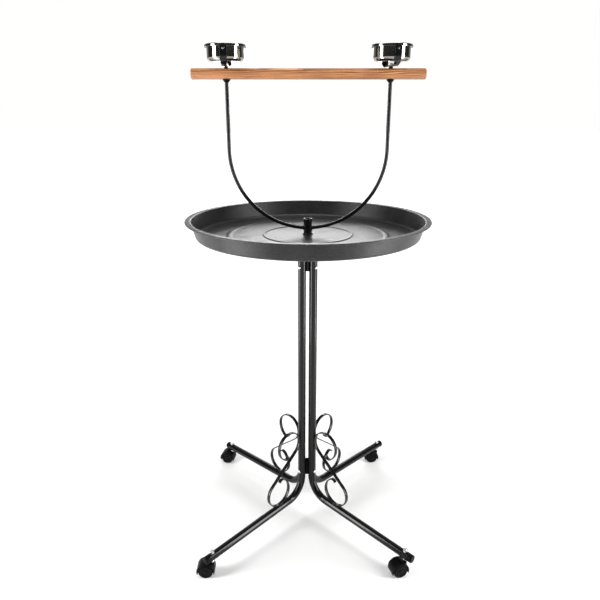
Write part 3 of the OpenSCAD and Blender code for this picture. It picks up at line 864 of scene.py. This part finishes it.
# %% [markdown]
# ### Wheels
# A moulded twin wheel has a rounded tread, and an outer face with a rim, a dished
# ring and a hub cap. Its inner side is open round the axle. One outline turned
# round the axle gives all of it.

# %% Wheels and axles
def wheel_outline():
    """Half section: (radius, distance outwards from the wheel's middle)."""
    half, soft, bore = WHEEL_W / 2, 0.0025, axle_r + 0.00008
    face, cap = half - 0.001, half - 0.00015
    hub = wheel_r * 0.26
    inner_edge = arc(wheel_r - soft, -half + soft, soft, -90, 0, 7)
    outer_edge = arc(wheel_r - soft, half - soft, soft, 0, 90, 7)
    dish = [
        (wheel_r * 0.72, half), (wheel_r * 0.69, half - 0.0003), (wheel_r * 0.66, face),
        (hub + 0.0022, face - 0.0002), (hub + 0.0006, face), (hub, cap - 0.0006),
        (hub - 0.0007, cap), (0, cap + 0.0001),
    ]
    inside = [(0, half - 0.0025), (bore, half - 0.0025), (bore, -half), (wheel_r * 0.5, -half)]
    return inner_edge + outer_edge + dish + inside


for corner in CORNERS:
    for side, label in ((-1, "a"), (1, "b")):
        node = "wheel_" + corner + "_" + label
        facing = Matrix.Rotation(-side * math.pi / 2, 4, "X")
        aside = side * (WEB_T / 2 + MOVE_GAP + WHEEL_W / 2)
        place = axle_frame(corner) @ at(0, aside, 0) @ facing
        tyre = lathe("tyre_" + corner + "_" + label, wheel_outline(), 72, place=place, sharp=28)
        finish_piece(tyre, node, "wheel_plastic", wheel_plastic, node)

axle_half = hood_w / 2 - 0.0029
for corner in CORNERS:
    pin = lathe("axle_pin_" + corner, [
        (0, -axle_half), (axle_r - 0.0003, -axle_half), (axle_r, -axle_half + 0.0003),
        (axle_r, axle_half - 0.0003), (axle_r - 0.0003, axle_half), (0, axle_half),
    ], 32, place=axle_frame(corner) @ Matrix.Rotation(math.pi / 2, 4, "X"))
    finish_piece(pin, "caster_" + corner, "zinc", zinc, "axle_" + corner)

# %% [markdown]
# ### Stems and nuts
# The stem runs up through the leg and a nut holds it. All four are the same, so
# one is drawn and a tree sets it on a point at each corner. They are kept as one
# mesh, because they belong to one body, the stand.

# %% Stems and stem nuts
stem_low, stem_high = low_z("stem_front_left"), high_z("stem_front_left")
STEM_R = 0.0035
FLANGE_R = size("stem_front_left").x / 2
FLANGE_T = 0.004
NUT_PLAY = 0.00003
flange_top = low_z("leg_front_left") + (STEM_INSET - FLANGE_R) * math.tan(LEG_FALL) - TOUCH_GAP


def stem_outline():
    snap = [
        (0, stem_low), (STEM_R + 0.0002, stem_low), (STEM_R + 0.0008, stem_low + 0.0006),
        (STEM_R + 0.0008, stem_low + 0.0022), (STEM_R, stem_low + 0.0026),
    ]
    flange = [(STEM_R, flange_top - FLANGE_T), (FLANGE_R - 0.0005, flange_top - FLANGE_T)]
    flange += [(FLANGE_R, flange_top - FLANGE_T + 0.0005), (FLANGE_R, flange_top - 0.0005)]
    flange += [(FLANGE_R - 0.0005, flange_top), (STEM_R, flange_top)]
    thread = []
    z = flange_top + 0.001
    while z < stem_high - 0.0012:
        thread += [(STEM_R, z), (STEM_R - 0.00035, z + 0.0005)]
        z += 0.001
    tip = [(STEM_R - 0.0004, stem_high - 0.0005), (STEM_R - 0.001, stem_high), (0, stem_high)]
    return snap + flange + thread + tip


def on_corners(name, piece, r, z, material):
    """Sets a piece drawn at the origin on each corner, r out and z up."""
    spots = mesh_object(name, [outwards(corner, r, z) for corner in CORNERS])
    run_tree(spots, corner_copies, Piece=piece, Material=material)
    bpy.data.objects.remove(piece)
    return spots


def nut(name, flats, bore, height, steps=48):
    """A hexagon nut whose corners are turned down to a circle top and bottom."""
    flat_r = flats / 2
    rings = []
    for i in range(steps):
        a = 2 * math.pi * i / steps
        to_flat = ((a + math.pi / 6) % (math.pi / 3)) - math.pi / 6
        side = flat_r / math.cos(to_flat)
        drop = (side - flat_r) * 0.6
        outline = [
            (bore, 0.0004), (bore + 0.0004, 0), (flat_r * 0.96, 0), (side, drop + 0.0002),
            (side, height - drop - 0.0002), (flat_r * 0.96, height), (bore + 0.0004, height),
            (bore, height - 0.0004),
        ]
        rings.append([(r * math.cos(a), r * math.sin(a), z) for r, z in outline])
    return smooth(skin(name, rings), 25)


stems = on_corners("caster_stems", lathe("one_stem", stem_outline(), 32), stem_out, 0, zinc)
finish_piece(smooth(stems, 30), "stand", "zinc", zinc, *["stem_" + corner for corner in CORNERS])

stem_nut_low, stem_nut_high = low_z("stem_nuts"), high_z("stem_nuts")
STEM_NUT_FLATS = 0.011
one_nut = nut("one_nut", STEM_NUT_FLATS, STEM_R + NUT_PLAY, stem_nut_high - stem_nut_low)
one_nut.data.transform(Matrix.Rotation(math.pi / 6, 4, "Z"))
nuts = on_corners("caster_nuts", one_nut, stem_out, stem_nut_low, zinc)
finish_piece(smooth(nuts, 25), "stand", "zinc", zinc, "stem_nuts")

# %% [markdown]
# ## Tubes and screws that hold the poles together
# A socket tube stands between the four poles and a short spacer sits just above
# their bends. Each takes four screws with a domed head and a cross slot.

# %% Socket and spacer tubes
TUBE_WALL = 0.0015
DRILL_REACH = 0.03
DRILL_PLAY = 0.0003


def drill(name, r):
    """A plain rod, to be cut out of a piece as a hole."""
    outline = [(0, -DRILL_REACH), (r, -DRILL_REACH), (r, DRILL_REACH), (0, DRILL_REACH)]
    return lathe(name, outline, 40)


def tube_outline(low, high):
    bore, soft = tube_r - TUBE_WALL, 0.0006
    return (
        arc(tube_r - soft, low + soft, soft, -90, 0, 4) + arc(tube_r - soft, high - soft, soft, 0, 90, 4)
        + [(bore + 0.0003, high), (bore, high - 0.0003), (bore, low + 0.0003), (bore + 0.0003, low)]
    )


socket = lathe("socket_sleeve", tube_outline(low_z("socket_tube"), high_z("socket_tube")), 72)
rod_r = size("hanger_rod").y / 2
rod_z = low_z("hanger_rod") + rod_r
hole = drill("hole", rod_r + DRILL_PLAY)
hole.data.transform(at(0, 0, rod_z) @ Matrix.Rotation(math.pi / 2, 4, "Y"))
combine(socket, hole, "DIFFERENCE")
finish_piece(smooth(socket), "stand", "hammertone", frame_paint, "socket_tube")
spacer = lathe("spacer_sleeve", tube_outline(low_z("spacer_tube"), high_z("spacer_tube")), 72)
finish_piece(spacer, "stand", "black_plastic", hood_plastic, "spacer_tube")

# %% Pole screws
SCREW_HEAD_R = 0.0043
SCREW_HEAD_H = 0.003
SLOT_HALF, SLOT_THIN, SLOT_DEEP = 0.0023, 0.0005, 0.0014


def screw_head(name, radius, height):
    """A domed head with a cross slot, seat at zero and top along +Z, with its shank."""
    dome_r = (radius ** 2 + (height * 0.62) ** 2) / (2 * height * 0.62)
    lift = height - dome_r
    edge = math.degrees(math.acos(radius * 0.97 / dome_r))
    shank = 0.002
    outline = [(0, -0.030), (shank, -0.030), (shank, 0), (radius - 0.0003, 0), (radius, 0.0003)]
    outline += [(radius, height * 0.36)] + arc(0, lift, dome_r, edge, 90, 10)
    head = lathe(name, outline, 40)
    bar = [
        (-SLOT_HALF, -SLOT_THIN), (SLOT_HALF, -SLOT_THIN), (SLOT_HALF, SLOT_THIN), (-SLOT_HALF, SLOT_THIN)
    ]
    for turn in (0, 90):
        slot = prism("slot", bar, 0.004)
        slot.data.transform(Matrix.Rotation(math.radians(turn + 20), 4, "Z"))
        slot.data.transform(at(0, 0, height - SLOT_DEEP + 0.002))
        combine(head, slot, "DIFFERENCE")
    return smooth(head, 35)


screw_seat = pole_out + tube_r + 0.00005
for node in ("upper_screws", "lower_screws"):
    one_screw = screw_head("one_screw", SCREW_HEAD_R, SCREW_HEAD_H)
    one_screw.data.transform(Matrix.Rotation(math.pi / 2, 4, "Y"))
    screws = on_corners(node + "_heads", one_screw, screw_seat, middle(node).z, zinc)
    finish_piece(smooth(screws, 35), "stand", "zinc", zinc, node)

# %% [markdown]
# ## The tray
# A pressed steel pan: flat floor with two raised rings, a rounded corner, a wall
# that leans out and a flat rim with a rolled edge. A sheet has two faces, so the
# outline goes out along the top face and comes back along the bottom one, and
# every bend is an arc of its own.

# %% Tray outline
tray_low, tray_high = low_z("tray"), high_z("tray")
tray_r = size("tray").x / 2
SHEET = 0.0012
RIM_W = 0.0144
WALL_LEAN = 0.009
TRAY_CORNER = 0.008
ROLL_R = 0.0017
RINGS = ((0.106, 0.008), (0.189, 0.015))
RING_UP = 0.0016
floor_top = tray_low + SHEET


def soft_step(r, width, z, steps=6):
    """A raised ring with rounded shoulders, as a smooth rise and fall."""
    rise = width / 3
    points = []
    for i in range(steps + 1):
        t = i / steps
        points.append((r - width / 2 + rise * t, z + RING_UP * (3 * t * t - 2 * t ** 3)))
    return points + [(2 * r - x, h) for x, h in reversed(points)]


def tray_side(shift):
    """One face of the sheet, from the centre hole to the rim; shift is 0 or the sheet."""
    wall_top = tray_r - RIM_W
    wall_foot = wall_top - WALL_LEAN
    lean = math.degrees(math.atan2(tray_high - floor_top, WALL_LEAN))
    points = [(tube_r + 0.00025, floor_top - shift)]
    for r, width in RINGS:
        points += [(r - width / 2 - 0.004, floor_top - shift)] + soft_step(r, width, floor_top - shift)
        points += [(r + width / 2 + 0.004, floor_top - shift)]
    centre = (wall_foot - TRAY_CORNER, floor_top + TRAY_CORNER)
    points += arc(*centre, TRAY_CORNER + shift, -90, -90 + lean, 12)
    turn_r = 0.0026 - shift
    hinge = (wall_top + 0.0026, tray_high - 0.0026)
    points += arc(*hinge, turn_r, 90 + lean, 90, 8)
    return points


def tray_outline():
    top, under = tray_side(0), tray_side(SHEET)
    roll = arc(tray_r - ROLL_R, tray_high - ROLL_R, ROLL_R, 90, -180, 18)
    tuck = [(tray_r - 2 * ROLL_R, tray_high - SHEET)]
    return top + roll + tuck + list(reversed(under))


pan = lathe("tray_pan", tray_outline(), 192, sharp=50)
finish_piece(pan, "stand", "hammertone", tray_paint, "tray")

# %% Collar on the tray floor
collar_low, collar_high = low_z("tray_collar"), high_z("tray_collar")
collar_r = size("tray_collar").x / 2
collar_bore = tube_r + TOUCH_GAP
collar = lathe("collar_ring", [
    (collar_bore, collar_low), (collar_r - 0.0002, collar_low), (collar_r, collar_low + 0.0002),
    (collar_r, collar_low + 0.0012), (collar_r - 0.0005, collar_low + 0.0020),
    (tube_r + 0.0013, collar_high - 0.0002), (tube_r + 0.0008, collar_high), (collar_bore, collar_high),
], 72)
finish_piece(collar, "stand", "hammertone", frame_paint, "tray_collar")

# %% [markdown]
# ## The hanger
# One steel rod bent into a U. It passes through the socket tube and rises on both
# sides into the studs that carry the perch. The rod is swept along its line; the
# thinner studs are turned and joined to its ends, then threaded near the top.

# %% Hanger rod and studs
half_w = (size("hanger_rod").x - 2 * rod_r) / 2
arc_z = rod_z + half_w
seat_high = high_z("perch_seats")
stud_top = high_z("hanger_rod")
STUD_R = 0.003
nut_low, nut_high = low_z("holder_nuts"), high_z("holder_nuts")


def u_line():
    curve = [(x, 0, z) for x, z in arc(0, arc_z, half_w, 180, 360, 96)]
    return [(-half_w, 0, seat_high)] + curve + [(half_w, 0, seat_high)]


def stud_outline():
    points = [(0, seat_high - 0.004), (STUD_R, seat_high - 0.004)]
    z = nut_low - 0.0015
    points.append((STUD_R, z - 0.0005))
    while z < stud_top - 0.0012:
        points += [(STUD_R, z), (STUD_R - 0.0003, z + 0.0004)]
        z += 0.0008
    return points + [(STUD_R - 0.0007, stud_top), (0, stud_top)]


def on_uprights(name, outline, steps):
    """The same turned piece on both uprights of the hanger."""
    return [
        lathe(name + side, outline, steps, place=at(s * half_w, 0, 0))
        for side, s in zip(SIDES, (-1, 1))
    ]


rod = path_object("hanger_bar", u_line())
run_tree(rod, round_bar, Radius=rod_r, Material=frame_paint)
merged(rod, *on_uprights("stud_", stud_outline(), 32))
finish_piece(smooth(rod), "stand", "hammertone", frame_paint, "hanger_rod")

# %% [markdown]
# ## Perch, seats and holder fixings
# The perch is a dowel with chamfered ends. It is turned upright like the rest,
# laid along the stand and drilled through for the two studs.

# %% Perch
perch_r = size("perch").z / 2
perch_half = size("perch").x / 2
perch_mid = middle("perch")
CHAMFER = 0.0015


def perch_outline():
    """(radius, distance along), with the end chamfers slightly rounded by wear."""
    end = perch_half
    left = [(0, -end), (perch_r - CHAMFER - 0.0003, -end), (perch_r - CHAMFER + 0.0002, -end + 0.0001)]
    left += [(perch_r - 0.0002, -end + CHAMFER - 0.0001), (perch_r, -end + CHAMFER + 0.0004)]
    return left + [(r, -x) for r, x in reversed(left)]


perch = lathe("dowel", perch_outline(), 96, sharp=60)
perch.data.transform(at(*perch_mid) @ Matrix.Rotation(math.pi / 2, 4, "Y"))
for s in (-1, 1):
    hole = drill("hole", STUD_R + DRILL_PLAY)
    hole.data.transform(at(s * half_w, 0, perch_mid.z))
    combine(perch, hole, "DIFFERENCE")
finish_piece(smooth(perch, 28), "stand", "perch_wood", oiled_wood, "perch")

# %% Seats, spacers and nuts
seat_low = low_z("perch_seats")
seat_r = size("perch_seats").x / 2 - half_w
bore = rod_r + TOUCH_GAP
seat_h = seat_high - seat_low
seat_outline = [
    (bore, seat_low), (rod_r + 0.0007, seat_low), (rod_r + 0.001, seat_low + 0.0003),
    (seat_r - 0.0004, seat_low + seat_h * 0.68), (seat_r, seat_low + seat_h * 0.78),
    (seat_r, seat_high - 0.0004), (seat_r - 0.0004, seat_high), (bore, seat_high),
]
seats = on_uprights("seat_", seat_outline, 56)
finish_piece(smooth(merged(*seats)), "stand", "black_plastic", hood_plastic, "perch_seats")

foot_low, foot_high = low_z("holder_spacers"), high_z("holder_spacers")
foot_r = size("holder_spacers").y / 2
foot_outline = [
    (STUD_R + 0.0003, foot_low), (foot_r - 0.0003, foot_low), (foot_r, foot_low + 0.0003),
    (foot_r, foot_high - 0.0003), (foot_r - 0.0003, foot_high), (STUD_R + 0.0003, foot_high),
]
feet = on_uprights("foot_", foot_outline, 40)
finish_piece(smooth(merged(*feet)), "stand", "black_plastic", hood_plastic, "holder_spacers")

STUD_NUT_FLATS = 0.010
stud_nuts = []
for side, s in zip(SIDES, (-1, 1)):
    one = nut("stud_nut_" + side, STUD_NUT_FLATS, STUD_R + NUT_PLAY, nut_high - nut_low)
    one.data.transform(at(s * half_w, 0, nut_low) @ Matrix.Rotation(math.radians(30 + 8 * s), 4, "Z"))
    stud_nuts.append(one)
finish_piece(smooth(merged(*stud_nuts), 25), "stand", "zinc", zinc, "holder_nuts")

# %% [markdown]
# ## Cup holders
# Each cup hangs by its lip in a wire ring with two tabs. A strap bent into a U is
# riveted to the tabs and held on the stud by a nut. The right-hand holder is
# turned a little on its stud, so all holder pieces are drawn square and turned.

# %% Cup places and sizes
TURN = {"left": 0.0, "right": math.radians(11)}
CUP_R = 0.0415
CUP_T = 0.0009
WIRE_R = 0.0015
STRAP_W, STRAP_FOOT_W, STRAP_T = 0.016, 0.0115, 0.002
STRAP_BEND = 0.020
TAB_W, TAB_H, TAB_T = 0.011, 0.011, 0.0014
TAB_IN = CUP_R + 0.0007
ARM_IN = TAB_IN + TAB_T + TOUCH_GAP
ARM_OUT = ARM_IN + STRAP_T
cup_low, cup_high = low_z("cup_left"), high_z("cup_left")
ring_z = high_z("cup_ring_left") - WIRE_R
ring_mid_r = size("cup_ring_left").x / 2 - WIRE_R
strap_low, strap_high = low_z("cup_strap_left"), high_z("cup_strap_left")
rivet_z = middle("strap_rivets_left").z


def at_cup(side):
    centre = middle("cup_" + side)
    return at(centre.x, centre.y, 0) @ Matrix.Rotation(TURN[side], 4, "Z")


print("ring radius", round(ring_mid_r, 5), "strap", round(strap_low, 4), round(strap_high, 4))

# %% Ring wires with their tabs
def tab_outline():
    half, soft = TAB_W / 2, 0.0025
    bottom = ring_z - TAB_H
    return (
        [(half, ring_z)] + arc(half - soft, bottom + soft, soft, 0, -90, 6)
        + arc(-half + soft, bottom + soft, soft, -90, -180, 6) + [(-half, ring_z)]
    )


for side in SIDES:
    hoop = lathe("holder_hoop_" + side, arc(ring_mid_r, ring_z, WIRE_R, 0, 348, 29), 128)
    for s in (-1, 1):
        tab = prism("tab", tab_outline(), TAB_T)
        tab.data.transform(at(0, s * (TAB_IN + TAB_T / 2), 0) @ Matrix.Rotation(math.pi / 2, 4, "X"))
        combine(hoop, tab)
    hoop.data.transform(at_cup(side))
    finish_piece(smooth(hoop, 40), "cup_holder_" + side, "black_paint", black_enamel, "cup_ring_" + side)

# %% Straps, narrower at the foot
def strap_line():
    y, z, r = ARM_OUT - STRAP_T / 2, strap_low + STRAP_T / 2, STRAP_BEND - STRAP_T / 2
    bend_y, bend_z = ARM_OUT - STRAP_BEND, strap_low + STRAP_BEND
    near = [(-y, strap_high), (-y, strap_high - 0.006), (-y, bend_z + 0.004)]
    near += arc(-bend_y, bend_z, r, 180, 270, 18)
    middle_run = [(x / 1000, z) for x in range(-20, 21, 2)]
    return [(0, a, b) for a, b in near + middle_run + [(-a, b) for a, b in reversed(near)]]


def taper_foot(piece):
    """Narrows the strap towards its foot, as its flat blank was cut."""
    top = cup_low + 0.002
    bottom = strap_low - 0.001
    for vertex in piece.data.vertices:
        t = min(1, max(0, (vertex.co.z - bottom) / (top - bottom)))
        vertex.co.x *= (STRAP_FOOT_W + (STRAP_W - STRAP_FOOT_W) * t) / STRAP_W


for side in SIDES:
    strap = path_object("holder_strap_" + side, strap_line())
    run_tree(strap, flat_strip, Width=STRAP_W, Thickness=STRAP_T, Edge=0.0006, Material=black_enamel)
    taper_foot(strap)
    strap.data.transform(at_cup(side))
    finish_piece(smooth(strap, 40), "cup_holder_" + side, "black_paint", black_enamel, "cup_strap_" + side)

# %% Rivets
RIVET_R, RIVET_HEAD_R, RIVET_HEAD_H = 0.0015, 0.00285, 0.0011
RIVET_IN = TAB_IN + 0.00003
rivet_len = ARM_OUT - RIVET_IN
dome = (RIVET_HEAD_R ** 2 + RIVET_HEAD_H ** 2) / (2 * RIVET_HEAD_H)
rivet_edge = math.degrees(math.acos(RIVET_HEAD_R / dome))
rivet_outline = [(0, 0), (RIVET_R, 0), (RIVET_R, rivet_len)]
rivet_outline += arc(0, rivet_len + RIVET_HEAD_H - dome, dome, rivet_edge, 90, 8)
for side in SIDES:
    rivets = []
    for s in (-1, 1):
        one = lathe("rivet", rivet_outline, 28)
        one.data.transform(at(0, s * RIVET_IN, rivet_z) @ Matrix.Rotation(-s * math.pi / 2, 4, "X"))
        rivets.append(one)
    pair = merged(*rivets)
    pair.name = "holder_rivets_" + side
    pair.data.transform(at_cup(side))
    finish_piece(smooth(pair), "cup_holder_" + side, "zinc", rivet_steel, "strap_rivets_" + side)

# %% [markdown]
# ## Cups
# Spun from thin sheet: a flat floor, a generous corner, a straight wall and a lip
# rolled over and down. Inside and outside faces are drawn as one closed outline.

# %% Cups
CUP_CORNER = 0.009
LIP_R = 0.00295
LIP_DROP = 0.003
DISH_R, DISH_EDGE_R, DISH_UP = 0.024, 0.0255, 0.0004


def cup_outline():
    inner = CUP_R - CUP_T
    lip_mid = inner + LIP_R
    wall_top = cup_high - LIP_R
    floor = cup_low + CUP_T
    edge = wall_top - LIP_DROP
    corner_mid = (CUP_R - CUP_CORNER, cup_low + CUP_CORNER)
    outside = [(0, cup_low + DISH_UP), (DISH_R, cup_low + DISH_UP), (DISH_EDGE_R, cup_low)]
    outside += arc(*corner_mid, CUP_CORNER, -90, 0, 14)
    under_lip = arc(lip_mid, wall_top, LIP_R - CUP_T, 180, 0, 14)
    brim = [(lip_mid + LIP_R - CUP_T, edge + 0.0002), (lip_mid + LIP_R - CUP_T / 2, edge)]
    brim += [(lip_mid + LIP_R, edge + 0.0002)]
    over_lip = arc(lip_mid, wall_top, LIP_R, 0, 180, 20)
    inside = arc(*corner_mid, CUP_CORNER - CUP_T, 0, -90, 14)
    inside += [(DISH_EDGE_R, floor), (DISH_R, floor + DISH_UP), (0, floor + DISH_UP)]
    return outside + under_lip + brim + over_lip + inside


for side in SIDES:
    bowl = lathe("steel_bowl_" + side, cup_outline(), 144, sharp=50)
    bowl.data.transform(at_cup(side))
    finish_piece(bowl, "cup_" + side, "stainless", cup_steel[side], "cup_" + side)

# %% [markdown]
# ## Weld beads
# Strip touches tube at two points in each scroll, and the rod meets the socket.
# Each touch gets a short bead: small drops that overlap along a line, set by the
# bead tree. They are hard to see and easy to feel, and they explain the joint.

# %% Beads
BEAD_ASIDE = 0.0044
BEAD_SPACING = 0.0011
BEAD_STEP = 0.001


def contact_lines(corner):
    """Lines along a pole and along a leg, at both edges of the strip."""
    lines = []
    leg_dir = Vector((math.cos(LEG_FALL), -math.sin(LEG_FALL)))
    leg_up = Vector((math.sin(LEG_FALL), math.cos(LEG_FALL)))
    leg_touch = loop_a - leg_up * (LOOP_R + STRIP_T / 2)
    pole_touch = Vector((pole_out + tube_r, loop_b.y))
    touches = (
        (leg_touch, leg_dir, -leg_up),
        (pole_touch, Vector((0, 1)), Vector((-1, 0))),
    )
    for aside in (-BEAD_ASIDE, BEAD_ASIDE):
        dip = tube_r - math.sqrt(tube_r ** 2 - aside ** 2)
        for touch, run, inward in touches:
            points = [touch + inward * dip * 0.6 + run * (step * BEAD_STEP) for step in range(-6, 7)]
            lines.append([outwards(corner, p.x, p.y, aside) for p in points])
    return lines


for corner in CORNERS:
    bead = path_object("scroll_beads_" + corner, *contact_lines(corner))
    run_tree(bead, weld_bead, Spacing=BEAD_SPACING, Size=0.00105, Material=frame_paint)
    finish_piece(smooth(bead, 60), "stand", "hammertone", frame_paint)

rod_rings = []
for s in (-1, 1):
    ring = []
    for y, z in arc(0, rod_z, rod_r + 0.0004, 0, 360, 40):
        ring.append((s * (math.sqrt(tube_r ** 2 - y ** 2) + 0.0002), y, z))
    rod_rings.append(ring)
rod_bead = path_object("rod_beads", *rod_rings)
run_tree(rod_bead, weld_bead, Spacing=BEAD_SPACING, Size=0.0012, Material=frame_paint)
finish_piece(smooth(rod_bead, 60), "stand", "hammertone", frame_paint)

# %% [markdown]
# ## Floor and light
# A pale floor, a pale sky all round, and soft boxes at the sides. The boxes are
# tall and narrow, so each round tube carries two long highlights and reads round.

# %% Floor
# The floor glows more the further it is from the stand, where the soft boxes do
# not reach, so it stays one even pale tone.
floor = mesh_object("floor", [(-30, -30, 0), (30, -30, 0), (30, 30, 0), (-30, 30, 0)], faces=[(0, 1, 2, 3)])
floor_material, floor_shader = surface("studio_floor", (0.86, 0.86, 0.855), 0.6)
floor_shader.inputs["Specular IOR Level"].default_value = 0.1
floor_place = coordinates(floor_material)
reach = add(floor_material, "ShaderNodeVectorMath")
reach.operation = "LENGTH"
wire(floor_material, floor_place, reach.inputs[0])
glow = span(floor_material, reach.outputs["Value"], 0.3, 2.6, 0.07, 1.0)
wire(floor_material, glow, floor_shader.inputs["Emission Strength"])
floor_shader.inputs["Emission Color"].default_value = (1.0, 1.0, 0.99, 1)
floor.data.materials.append(floor_material)

# %% World: white to look at, darker in front of the stand for its reflections
world = bpy.data.worlds.new("studio")
world.use_nodes = True
background = world.node_tree.nodes["Background"]
sky = add(world, "ShaderNodeTexCoord")
heading = add(world, "ShaderNodeSeparateXYZ")
wire(world, sky.outputs["Generated"], heading.inputs[0])
behind = span(world, heading.outputs["Y"], 0.4, 0.98, 0.05, 0.8)
overhead = span(world, heading.outputs["Z"], 0.5, 0.95, 0.0, 0.3)
studio_light = maths(world, "ADD", behind, overhead)
rays = add(world, "ShaderNodeLightPath")
seen = maths(world, "MAXIMUM", rays.outputs["Is Camera Ray"], studio_light)
wire(world, seen, background.inputs["Strength"])
background.inputs["Color"].default_value = (1.0, 1.0, 0.995, 1)
bpy.context.scene.world = world
bpy.context.scene.view_settings.view_transform = "Standard"


# %% Soft boxes
def softbox(name, place, target, width, height, brightness):
    """A soft box; its power follows from its area, so brightness is what reflections show."""
    data = bpy.data.lights.new(name, "AREA")
    data.shape = "RECTANGLE"
    data.size = width
    data.size_y = height
    data.energy = brightness * math.pi * width * height
    light = bpy.data.objects.new(name, data)
    light.location = place
    light.rotation_euler = (Vector(target) - Vector(place)).to_track_quat("-Z", "Y").to_euler()
    light.visible_camera = False
    bpy.context.scene.collection.objects.link(light)


softbox("left_box", (-1.25, -0.5, 0.85), (0, 0, 0.85), 0.42, 1.7, 14.0)
softbox("right_box", (1.25, -0.5, 0.85), (0, 0, 0.85), 0.42, 1.7, 14.0)
softbox("top_box", (0, 0.3, 2.4), (0, 0, 0.4), 1.4, 0.5, 8.0)
softbox("back_box", (0, 2.5, 1.35), (0, 0, 0.8), 1.1, 0.6, 8.0)
print("lights placed")
